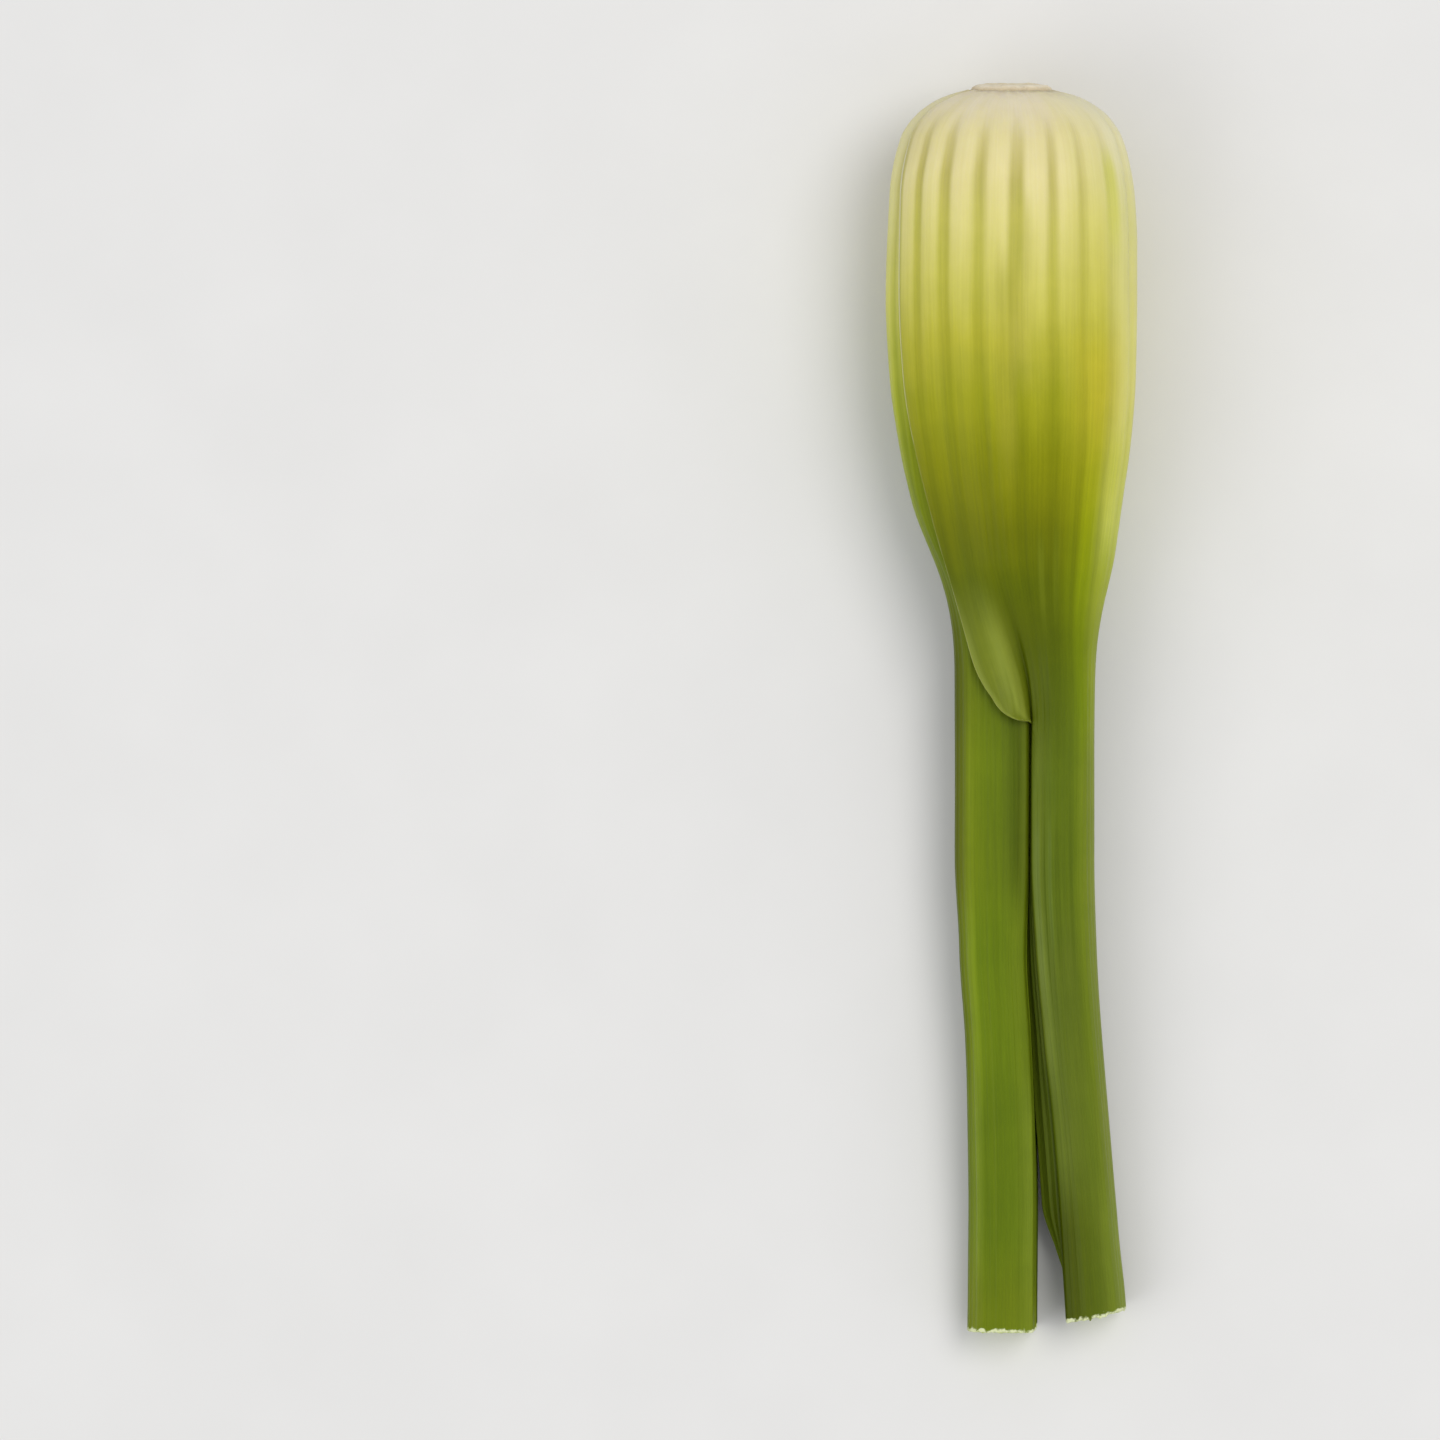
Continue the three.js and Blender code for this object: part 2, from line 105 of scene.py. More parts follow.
OUTER = Leaf(
    mid=75, body=(90, 45), facing=78, corner=136, start=0.95, end=LENGTH, turn=(64, 88),
    lo=[[1, -72], [20, -68], [43, -66], [57, -60], [68, -54], [76, -47], [80, -42], [82.2, -36.5], [83.6, -30.5],
        [85, -24.5], [86, -18], [86.8, -8], [87.5, 6]],
    hi=[[1, 214], [40, 210], [55, 200], [65, 188], [72, 174], [76, 163], [82, 150]],
    lo_end=87.6, hi_end=82, lo_fade=0.8, hi_fade=12,
    thick=[[1, 3.2], [8, 3.9], [30, 4.1], [60, 3.9], [75, 4.6], [88, 5]],
    px=[[60, 7.1], [88, 6.85], [106, 6.8], [118.5, 7.3], [131, 8.3], [143, 9.5], [155.5, 10.55], [171.2, 11.6]],
    pz=[[60, 0], [88, 0], [130, 0.2], [171.2, 0]],
    pw=[[60, 4.5], [88, 4.6], [106, 4.65], [118, 4.52], [131, 4.25], [143, 4.1], [156, 4.15], [171.2, 4.35]],
    pd=[[60, 4.6], [88, 4.6], [120, 4.35], [171.2, 4.25]],
    cut=(2.1, 0.21),
    flank=[[60, -0.05], [100, -0.03], [106, 0.14], [118.5, 0.48], [131, 0.66], [143, 0.92], [154, 0.95], [160, 0.4],
           [165, 0.02], [171.2, -0.05]])
SECOND = Leaf(
    mid=-90, body=(50, 58), facing=-96, corner=135, start=1.0, end=LENGTH, turn=(57, 82),
    lo=[[1, -218], [40, -206], [55, -192], [65, -172], [70, -156], [72, -148]],
    hi=[[1, 46], [40, 34], [50, 18], [58, -4], [63, -16], [68, -26]],
    lo_end=72, hi_end=68, lo_fade=9, hi_fade=8,
    thick=[[1, 3], [8, 3.8], [30, 4.2], [60, 4.4], [84, 5]],
    px=[[55, -1.9], [84, -1.65], [95, -1.6], [106, -1.65], [118.5, -1.6], [131, -0.9], [143, -0.45], [155.5, -0.25], [171.2, -0.3]],
    pz=[[55, -0.3], [84, -0.3], [130, 0], [171.2, 0]],
    pw=[[55, 5.5], [84, 5.8], [106, 5.75], [118.5, 5.25], [131, 5.15], [143, 5.25], [171.2, 5.3]],
    pd=[[55, 4.1], [84, 4.1], [120, 4.2], [171.2, 4.2]],
    cut=(0, 0), flank=[[60, -0.08], [171.2, -0.08]])
THIRD = Leaf(
    mid=180, body=(48, 48), facing=180, corner=130, start=5, end=107, turn=(54, 80),
    lo=[[1, 52], [40, 66], [55, 92], [64, 118], [67, 126]],
    hi=[[1, 304], [40, 290], [55, 266], [64, 242], [67, 234]],
    lo_end=70, hi_end=70, lo_fade=12, hi_fade=12,
    thick=[[1, 3], [8, 3.9], [30, 4.3], [60, 3.8], [80, 3.6]],
    px=[[50, 2.4], [80, 2.7], [107, 2.9]],
    pz=[[50, -6.3], [84, -6.55], [107, -6.1]],
    pw=[[50, 2.9], [80, 2.7], [107, 2.4]],
    pd=[[50, 2.1], [80, 2.0], [107, 1.85]],
    cut=(0, 0), flank=[[60, 0.16], [171.2, 0.16]])


# ---------------------------------------------------------------------- shapes
def ease(a, b, s):
    t = np.clip((np.asarray(s, float) - a) / (b - a), 0, 1)
    return t * t * (3 - 2 * t)


def bump(x, at, width):
    return np.exp(-(((x - at) / width) ** 2))


def wrap(a):
    return (a + 180.0) % 360.0 - 180.0


def oval(tau, a, up, down, cx, axial):
    t = np.radians(tau)
    c, q = np.cos(t), np.sin(t)
    z = np.where(c > 0, up * c, down * c * (1 + BELLY_FLAT * q * q))
    x = cx + a * q
    return np.stack([x, np.broadcast_to(-np.asarray(axial, float), x.shape), z], -1)


def centre_x(s):
    return (right(s) + left(s)) / 2


def half_width(s):
    return (right(s) - left(s)) / 2


def skin(s, tau):
    return oval(tau, half_width(s), top(s), bottom(s), centre_x(s), s)


def heart(s, tau):
    return oval(tau, heart_a(s), heart_top(s), heart_bot(s), centre_x(s), heart_s(s))


def under(s, tau, depth):
    p, q = skin(s, tau), heart(s, tau)
    d = np.linalg.norm(p - q, axis=-1)
    return p + (q - p) * np.minimum(0.97, depth / d)[..., None]


def thickness(leaf, s, tau):
    lo, hi = leaf.lo(s), leaf.hi(s)
    d = np.where(tau < leaf.mid, (leaf.mid - tau) / (leaf.mid - lo), (tau - leaf.mid) / (hi - leaf.mid))
    return MARGIN_T + (leaf.thick(s) - MARGIN_T) * np.power(np.maximum(0, 1 - d * d), 1.1)


def taken(leaf, s, tau):
    total = np.zeros_like(tau)
    lo, hi = leaf.lo(s), leaf.hi(s)
    for t in (tau - 360, tau, tau + 360):
        inside = (t >= lo) & (t <= hi)
        v = np.where(inside, thickness(leaf, s, t) + GAP, 0)
        v = np.where((t > lo - 14) & (t < lo), (MARGIN_T + GAP) * ease(lo - 14, lo, t), v)
        v = np.where((t > hi) & (t < hi + 14), (MARGIN_T + GAP) * (1 - ease(hi, hi + 14, t)), v)
        total = np.maximum(total, v)
    return total


def depth_of(outside, s, tau):
    total = np.zeros_like(tau)
    for leaf in outside:
        total = total + taken(leaf, s, tau)
    return total


def stalk(leaf, s, ang):
    t = np.radians(ang)
    c, q, e = np.cos(t), np.sin(t), 2 / 2.25
    x = leaf.px(s) + leaf.pw(s) * np.sign(q) * np.abs(q) ** e
    z = leaf.pz(s) + leaf.pd(s) * np.sign(c) * np.abs(c) ** e
    return np.stack([x, np.full(x.shape, -float(s)), z], -1)


BODY_N, WING_N = 144, 60


def section(leaf, outside, s):
    """One section of a leaf. Each face is points with, in turn, the vein label,
    the angle round the stalk and how far out on a wing."""
    w = float(ease(leaf.turn[0], leaf.turn[1], s))
    c_lo = stalk(leaf, s, np.array([leaf.facing - leaf.corner]))[0]
    c_hi = stalk(leaf, s, np.array([leaf.facing + leaf.corner]))[0]
    mid, half = (c_lo + c_hi) / 2, (c_hi - c_lo) / 2
    chord = float(np.linalg.norm(half))
    inward = mid - stalk(leaf, s, np.array([leaf.facing]))[0]
    inward /= np.linalg.norm(inward)
    u = np.linspace(-1, 1, BODY_N + 1)
    tau = leaf.mid + u * np.where(u < 0, leaf.body[0], leaf.body[1])
    ang = leaf.facing + u * leaf.corner
    d, t = depth_of(outside, s, tau), thickness(leaf, s, tau)
    flat = mid + half * (u * (1 - 0.6 / chord))[:, None] + inward * (float(leaf.flank(s)) * chord * (1 - u * u))[:, None]
    body_out = (1 - w) * under(s, tau, d) + w * stalk(leaf, s, ang)
    body_in = (1 - w) * under(s, tau, d + t) + w * flat
    zero = np.zeros_like(u)
    out = [np.column_stack([body_out, tau, ang, zero])]
    inn = [np.column_stack([body_in, tau, ang, zero])]
    for high in (False, True):
        if s >= (leaf.hi_end if high else leaf.lo_end):
            continue
        k = -1 if high else 0
        o, i = body_out[k], body_in[k]
        start = leaf.mid + (leaf.body[1] if high else -leaf.body[0])
        end, fade_len = (leaf.hi_end, leaf.hi_fade) if high else (leaf.lo_end, leaf.lo_fade)
        gone = float(ease(end - fade_len, end, s))
        q = math.degrees(math.asin(max(-1, min(1, (o[0] - float(centre_x(s))) / float(half_width(s))))))
        near = q if math.cos(math.radians(start)) > 0 else 180 - q
        near += 360 * round((start - near) / 360)
        a = start + (near - start) * w
        want = float(leaf.hi(s) if high else leaf.lo(s))
        want += (a - want) * gone
        if gone > 0.9999:
            continue
        v = np.arange(1, WING_N + 1) / WING_N
        tw = a + (want - a) * v
        at = np.array([a])
        d0, t0 = depth_of(outside, s, at), thickness(leaf, s, at)
        co, ci = o - under(s, at, d0)[0], i - under(s, at, d0 + t0)[0]
        d = depth_of(outside, s, tw)
        th = thickness(leaf, s, tw)
        th = th + (MARGIN_T - th) * v * max(w, gone)
        fade = ((1 - v) ** 2)[:, None]
        label = tau[k] + (tw - a)
        extra = np.column_stack([label, ang[k] + (tw - a), v])
        wo = np.column_stack([o + (under(s, tw, d) + co * fade - o) * (1 - gone), extra])
        wi = np.column_stack([i + (under(s, tw, d + th) + ci * fade - i) * (1 - gone), extra])
        if high:
            out.append(wo)
            inn.append(wi)
        else:
            out.insert(0, wo[::-1])
            inn.insert(0, wi[::-1])
    return np.vstack(out), np.vstack(inn)


def resample(line, n, held):
    """Even columns along a section. The share of the columns that a wing holds
    is kept for a while after the wing has run out, so that none jumps sideways."""
    run = np.concatenate([[0], np.cumsum(np.linalg.norm(np.diff(line[:, :3], axis=0), axis=1))])
    body = np.flatnonzero(line[:, 5] <= 0)
    share = (run[body[0]] / run[-1], 1 - run[body[-1]] / run[-1])
    keep = [max(c, q, 1e-6) for c, q in zip(share, held)]
    ends = [max(c, min(0.02, q * 0.5)) if q > c else c for c, q in zip(share, keep)]
    want = run[-1] * np.interp(np.linspace(0, 1, n), [0, keep[0], 1 - keep[1], 1], [0, max(ends[0], 1e-7), 1 - max(ends[1], 1e-7), 1])
    cols = [np.interp(want, run, line[:, c]) for c in range(line.shape[1])]
    return np.column_stack(cols + [want, run[-1] - want]), keep


_tables = {}


def noise(x, y, seed):
    """Smooth value noise, -1 to 1, one cell per unit."""
    if seed not in _tables:
        _tables[seed] = np.random.RandomState(seed).rand(128, 128) * 2 - 1
    tb = _tables[seed]
    xi, yi = np.floor(x).astype(int), np.floor(y).astype(int)
    fx, fy = x - xi, y - yi
    fx, fy = fx * fx * (3 - 2 * fx), fy * fy * (3 - 2 * fy)
    a, b = tb[xi % 128, yi % 128], tb[(xi + 1) % 128, yi % 128]
    c, d = tb[xi % 128, (yi + 1) % 128], tb[(xi + 1) % 128, (yi + 1) % 128]
    return (a * (1 - fx) + b * fx) * (1 - fy) + (c * (1 - fx) + d * fx) * fy


def grid_normals(p, away):
    """Unit normals of a grid of points, turned away from the grid `away`."""
    n = np.cross(np.gradient(p, axis=0), np.gradient(p, axis=1))
    n /= np.maximum(np.linalg.norm(n, axis=-1, keepdims=True), 1e-9)
    side = np.sign(np.sum(n * (p - away), -1, keepdims=True).mean(axis=1, keepdims=True))
    return n * np.where(side == 0, 1, side)


# --------------------------------------------------------------- leaf surfaces
RIB_AMP = Profile([[0, 0], [2, 0.02], [4, 0.1], [6, 0.22], [9, 0.36], [14, 0.44], [22, 0.4], [32, 0.28], [42, 0.16],
                   [55, 0.08], [70, 0.05], [90, 0.03]])


class Grid:
    """A face of a leaf as a grid: rows along the leaf, columns across it."""

    def __init__(self, rows, stations):
        self.p = rows[..., :3]
        self.label, self.ang, self.wing = rows[..., 3], rows[..., 4], rows[..., 5]
        self.from_lo, self.from_hi = rows[..., 6], rows[..., 7]
        half = rows.shape[1] // 2
        on = self.wing > 0
        # 0 where a side has no wing, 1 where it has one at least 1.5 mm wide
        self.wing_lo = np.clip(np.where(on[:, :half], self.from_lo[:, :half], 0).max(1, keepdims=True) / 1.5, 0, 1)
        self.wing_hi = np.clip(np.where(on[:, half:], self.from_hi[:, half:], 0).max(1, keepdims=True) / 1.5, 0, 1)
        self.s = np.repeat(np.array(stations)[:, None], rows.shape[1], 1)


def rib_wave(g, spec):
    """1 off the grooves and 0 in a full one; and how domed the rib is there."""
    rs = np.random.RandomState(spec["seed"] + 20)
    c = np.array(spec["grooves"], float)
    deep, wide = 0.72 + 0.4 * rs.rand(len(c)), 3.0 + 1.7 * rs.rand(len(c))
    for k, v in spec.get("strength", {}).items():
        deep[list(c).index(k)] = v
    lab = g.label + 1.0 * noise(g.s / 24, g.label / 30, spec["seed"])
    i = np.clip(np.searchsorted(c, lab.ravel()), 1, len(c) - 1).reshape(lab.shape)
    a, b = c[i - 1], c[i]
    groove = np.maximum(deep[i - 1] * np.exp(-(((lab - a) / wide[i - 1]) ** 2)), deep[i] * np.exp(-(((b - lab) / wide[i]) ** 2)))
    f = (lab - a) / (b - a)
    return 1 - groove, np.clip(4 * f * (1 - f), 0, 1)


def relief(leaf, g, spec, outer):
    """Height of the real surface over the plain one, in mm."""
    w = ease(leaf.turn[0], leaf.turn[1], g.s)
    crest, dome = rib_wave(g, spec)
    # the wings carry weaker ribs towards their thin margins
    keep = 1 - 0.75 * ease(0.35, 1.0, g.wing)
    scale = 1.0 if outer else 0.35
    h = scale * RIB_AMP(g.s) * (0.55 * (crest - 0.65) + 0.65 * (dome - 0.67)) * keep * (1 - w)
    # finer veins between the ribs
    wander = 0.9 * noise(g.s / 26, g.label / 23, spec["seed"] + 2)
    fade = 0.55 + 0.45 * noise(g.label / 7, g.s / 30, spec["seed"] + 13)
    h += scale * 0.030 * fade * np.cos(2 * np.pi * (g.label + wander) / 4.15) * ease(16, 50, g.s) * (1 - w) * keep
    h += scale * 0.014 * np.cos(2 * np.pi * (g.label * 1.0 + 1.6 * wander) / 1.9) * ease(20, 55, g.s) * (1 - w)
    # the stalk: its corners, and fine lengthwise lines
    a = wrap(g.ang)
    for at_deg, height, width in spec["ridges"]:
        h += w * height * np.exp(-((wrap(a - at_deg) / width) ** 2))
    drift = 2.5 * noise(g.s / 34, a / 50, spec["seed"] + 3)
    h += w * scale * 0.045 * np.cos(2 * np.pi * (a + drift) / 12.0) * (0.6 + 0.4 * noise(a / 25, g.s / 50, spec["seed"] + 4))
    h += w * scale * 0.018 * np.cos(2 * np.pi * (a + 1.7 * drift) / 4.7)
    # broad unevenness of a grown thing
    h += (1 - w) * 0.22 * noise(g.s / 16, g.label / 38, spec["seed"] + 5) * ease(0, 12, g.s)
    h += w * 0.10 * noise(g.s / 15, a / 70, spec["seed"] + 6)
    h += (1 - w) * 0.05 * noise(g.s / 3.1, g.label / 9, spec["seed"] + 7) * (1 - ease(6, 26, g.s))
    # the root end is puckered where the leaf joins the stem
    if outer:
        h -= 0.16 * np.abs(noise(g.s / 1.1, g.label / 11, spec["seed"] + 8)) * (1 - ease(2.0, 6.5, g.s))
        for c in spec.get("creases", []):
            line = np.interp(g.s, c["s"], c["label"])
            deep = np.interp(g.s, c["s"], c["deep"])
            h -= deep * bump(g.label, line, c["width"])
    # margins end in a soft rounded edge, corners of the stalk in a smaller one
    for near, side in ((g.from_lo, g.wing_lo), (g.from_hi, g.wing_hi)):
        d = np.clip(near / 0.75, 0, 1)
        h -= (0.24 if outer else 0.14) * (1 - np.sqrt(np.clip(1 - (1 - d) ** 2, 0, 1))) * (0.45 + 0.55 * side)
    return h, crest, w


def build_leaf(name, leaf, outside, spec, stations, n_in):
    n_out = 3 * (n_in - 1) + 1
    outs, inns = [], []
    keep_o, keep_i, before = (0, 0), (0, 0), stations[0]
    for s in stations:
        o, i = section(leaf, outside, float(s))
        less = 0.018 * (s - before)
        o, keep_o = resample(o, n_out, [q - less for q in keep_o])
        i, keep_i = resample(i, n_in, [q - less for q in keep_i])
        outs.append(o)
        inns.append(i)
        before = s
    go, gi = Grid(np.array(outs), stations), Grid(np.array(inns), stations)
    no = grid_normals(go.p, gi.p[:, np.round(np.linspace(0, n_in - 1, n_out)).astype(int)])
    ni = grid_normals(gi.p, go.p[:, ::3])
    ho, crest, w = relief(leaf, go, spec, True)
    hi, crest_i, w_i = relief(leaf, gi, spec, False)
    po, pi = go.p + no * ho[..., None], gi.p + ni * hi[..., None]

    # the cut end: a plane that may slant, with a torn, fibrous lip
    back, slope = leaf.cut
    tip_x = float(leaf.px(leaf.end))
    for p, g in ((po, go), (pi, gi)):
        p[..., 1] += ease(leaf.end - 14, leaf.end, g.s) * (back + slope * (p[..., 0] - tip_x))
        lip = ease(leaf.end - 1.0, leaf.end, g.s)
        run = g.from_lo
        ragged = 0.20 * noise(run / 1.3, g.s * 0 + 3.3, spec["seed"] + 9) + 0.20 * noise(
            run / 0.42, g.s * 0 + 7.7, spec["seed"] + 10) + 0.12 * noise(run / 0.2, g.s * 0 + 1.7, spec["seed"] + 14)
        p[..., 1] += lip * (ragged + 0.05)

    rows = len(stations)
    n_loop = n_out + n_in
    loop = np.concatenate([po, pi[:, ::-1]], 1)

    def both(a, b):
        return np.concatenate([a, b[:, ::-1]], 1)

    one_o, one_i = np.ones_like(go.s), np.ones_like(gi.s)
    att = {
        "along": both(go.s, gi.s) / LENGTH,
        "vein": both(go.label, gi.label),
        "turned": both(wrap(go.ang), wrap(gi.ang)),
        "rib": both(0.7 + (crest - 0.7) * ease(2.5, 7.5, go.s), crest_i * 0.6),
        "wing": both(go.wing, gi.wing),
        "stalk": both(w, w_i),
        "face": both(one_o, one_i * (w_i * 0.9)),
        "cut": both(ease(leaf.end - 1.5, leaf.end, go.s), ease(leaf.end - 1.5, leaf.end, gi.s)) * 0.62,
        "core": both(one_o * 0, one_i * 0),
    }
    verts = [loop.reshape(-1, 3)]
    attrs = {k: [v.reshape(-1)] for k, v in att.items()}
    idx = np.arange(rows * n_loop).reshape(rows, n_loop)
    a, b = idx[:-1], np.roll(idx[:-1], -1, 1)
    c, d = np.roll(idx[1:], -1, 1), idx[1:]
    faces = np.stack([a, b, c, d], -1).reshape(-1, 4).tolist()
    # root end: a strip joins the outer and inner rims
    o0 = idx[0, :n_out]
    i0 = idx[0, n_out:][::-1]
    for j in range(n_in - 1):
        faces.append([int(i0[j]), int(i0[j + 1]), int(o0[3 * j + 3]), int(o0[3 * j + 2])])
        faces.append([int(i0[j]), int(o0[3 * j + 2]), int(o0[3 * j + 1]), int(o0[3 * j])])
    # cut end: rings that close in on the middle
    base = rows * n_loop
    rim = loop[-1]
    mid = rim.mean(0)
    levels = [0.985, 0.96, 0.935, 0.89, 0.83, 0.76, 0.68, 0.59, 0.5, 0.41, 0.32, 0.23, 0.15, 0.08]
    prev = idx[-1]
    last = {k: v[-1] for k, v in att.items()}
    for li, f in enumerate(levels):
        ring = mid + (rim - mid) * f
        r = 1 - f
        rough = 0.10 * noise(ring[:, 0] / 0.55, ring[:, 2] / 0.55, spec["seed"] + 11) + 0.06 * noise(
            ring[:, 0] / 0.22, ring[:, 2] / 0.22, spec["seed"] + 12)
        flat_y = -leaf.end + back + slope * (ring[:, 0] - tip_x)
        inset = 0.12 * ease(0, 0.2, r) + 0.25 * ease(0.35, 1.0, r)
        held = 1 - ease(0.0, 0.09, r)
        ring[:, 1] = held * rim[:, 1] + (1 - held) * (flat_y + inset + rough)
        verts.append(ring)
        now = np.arange(base, base + n_loop)
        base += n_loop
        for k in attrs:
            v = last[k].copy()
            if k == "cut":
                v[:] = 1
            if k == "core":
                v[:] = r
            attrs[k].append(v)
        faces += np.stack([prev, np.roll(prev, -1), np.roll(now, -1), now], -1).tolist()
        prev = now
    verts.append(mid[None].copy())
    verts[-1][0, 1] = -leaf.end + back + slope * (mid[0] - tip_x) + 0.37
    for k in attrs:
        attrs[k].append(np.array([1.0 if k in ("cut", "core") else last[k].mean()]))
    faces += [[int(prev[i]), int(prev[(i + 1) % n_loop]), base] for i in range(n_loop)]
    return make_object(name, np.concatenate(verts), faces, {k: np.concatenate(v) for k, v in attrs.items()})


PLACE = Matrix.Translation(Vector(SHIFT)) @ Matrix.Rotation(math.radians(TILT), 4, "X")
PLACE_M = np.array(PLACE)


def placed(p):
    return (p @ PLACE_M[:3, :3].T + PLACE_M[:3, 3]) / 1000.0


def volume_sign(p, faces):
    total = 0.0
    tri = np.array([[f[0], f[1], f[2]] for f in faces] + [[f[0], f[2], f[3]] for f in faces if len(f) == 4])
    a, b, c = p[tri[:, 0]], p[tri[:, 1]], p[tri[:, 2]]
    total = float(np.einsum("ij,ij->i", a, np.cross(b, c)).sum())
    return total


def make_object(name, points, faces, attrs):
    if volume_sign(points, faces) < 0:
        faces = [f[::-1] for f in faces]
    me = bpy.data.meshes.new(name)
    me.from_pydata(placed(points).tolist(), [], faces)
    for k, v in attrs.items():
        layer = me.attributes.new(k, "FLOAT", "POINT")
        layer.data.foreach_set("value", np.asarray(v, np.float32))
    me.polygons.foreach_set("use_smooth", [True] * len(me.polygons))
    me.update()
    me.validate()
    ob = bpy.data.objects.new(name, me)
    bpy.context.scene.collection.objects.link(ob)
    return ob


def steps(*parts):
    out = []
    for a, b, step in parts:
        out += list(np.arange(a, b - step * 0.25, step))
    return out + [parts[-1][1]]


outer_spec = dict(
    seed=11, grooves=(-84, -68, -51, -34, -16, 1.5, 19, 35, 54, 71, 88, 104, 121, 138, 156, 172, 190, 206, 222),
    strength={1.5: 1.15, 19: 0.8, 35: 0.86, 54: 0.95},
    ridges=[(-50, 0.30, 10), (-14, 0.10, 7), (-27, -0.10, 6), (38, 0.24, 14), (80, 0.14, 14), (122, 0.24, 12),
            (165, 0.2, 13), (-150, 0.24, 12), (-100, 0.2, 12)],
    creases=[dict(s=(66, 73, 80, 87.5, 91, 97), label=(-19, -17, -15.5, -15, -15, -15), deep=(0, 0.1, 0.24, 0.2, 0.06, 0),
                  width=3.4)])
second_spec = dict(
    seed=37, grooves=(-236, -219, -203, -188, -171, -156, -140, -123, -108, -92, -75, -60, -44, -27, -11, 6, 21, 38, 55),
    ridges=[(-40, 0.42, 11), (-10, -0.06, 20), (18, -0.16, 9), (36, 0.26, 7), (-78, 0.12, 14), (-118, 0.26, 11),
            (-160, 0.24, 12), (150, 0.26, 12), (104, 0.2, 12)])
third_spec = dict(seed=71, grooves=(36, 53, 70, 85, 101, 118, 134, 150, 166, 183, 199, 214, 231, 247, 264, 280, 297, 312),
                  ridges=[(180, 0.12, 18), (125, 0.14, 14), (-125, 0.14, 14), (60, 0.1, 14), (-60, 0.1, 14)])

outer = build_leaf("outer_leaf_skin", OUTER, [], outer_spec,
                   steps((OUTER.start, 10, 0.36), (10, 64, 0.78), (64, 79, 0.5), (79, 85, 0.25), (85, 88.4, 0.13),
                         (88.4, 168, 0.85), (168, LENGTH, 0.16)), 73)
second = build_leaf("second_leaf_skin", SECOND, [OUTER], second_spec,
                    steps((SECOND.start, 10, 0.36), (10, 56, 0.8), (56, 86, 0.42), (86, 168, 0.75), (168, LENGTH, 0.17)), 73)
third = build_leaf("third_leaf_skin", THIRD, [OUTER, SECOND], third_spec,
                   steps((THIRD.start, 10, 0.6), (10, 54, 1.1), (54, 82, 0.6), (82, 104, 0.7), (104, 107, 0.16)), 49)


def build_heart():
    n = 128
    rings = list(np.linspace(1.45, 64.5, 150))
    pts, lab, sv = [], [], []
    ang = np.linspace(0, 360, n, endpoint=False)
    for s in rings:
        close = 1 - 0.8 * float(ease(44, 66, s))
        p = heart(s, ang)
        cx = float(centre_x(s))
        p[:, 0] = cx + (p[:, 0] - cx) * 0.93 * close
        p[:, 2] = 0.6 + (p[:, 2] - 0.6) * 0.93 * close
        r = 0.10 * np.cos(np.radians(ang) * 9 + 0.4 * s / 10) + 0.05 * noise(ang / 12, np.full(n, s / 7), 91)
        r *= float(ease(2, 14, s))
        c = np.array([cx, 0, 0.6])
        d = p - np.array([cx, 0, 0.6]) * [1, 0, 1]
        d[:, 1] = 0
        d /= np.maximum(np.linalg.norm(d, axis=1, keepdims=True), 1e-6)
        pts.append(p + d * r[:, None])
        lab.append(ang)
        sv.append(np.full(n, s))
    verts = np.concatenate(pts + [np.array([[0, -heart_s(1.45) + 0.6, 0.3]]), np.array([[float(centre_x(66)), -66.8, 0.7]])])
    faces = []
    for r in range(len(rings) - 1):
        for i in range(n):
            a, b = r * n + i, r * n + (i + 1) % n
            faces.append([a, b, b + n, a + n])
    foot, tip, e = len(verts) - 2, len(verts) - 1, (len(rings) - 1) * n
    for i in range(n):
        faces.append([foot, (i + 1) % n, i])
        faces.append([tip, e + i, e + (i + 1) % n])
    along = np.concatenate([np.concatenate(sv), [0, 66]]) / LENGTH
    vein = np.concatenate([np.concatenate(lab), [0, 0]])
    return make_object("heart_shoot_skin", verts, faces, {"along": along, "vein": vein})


heart_ob = build_heart()


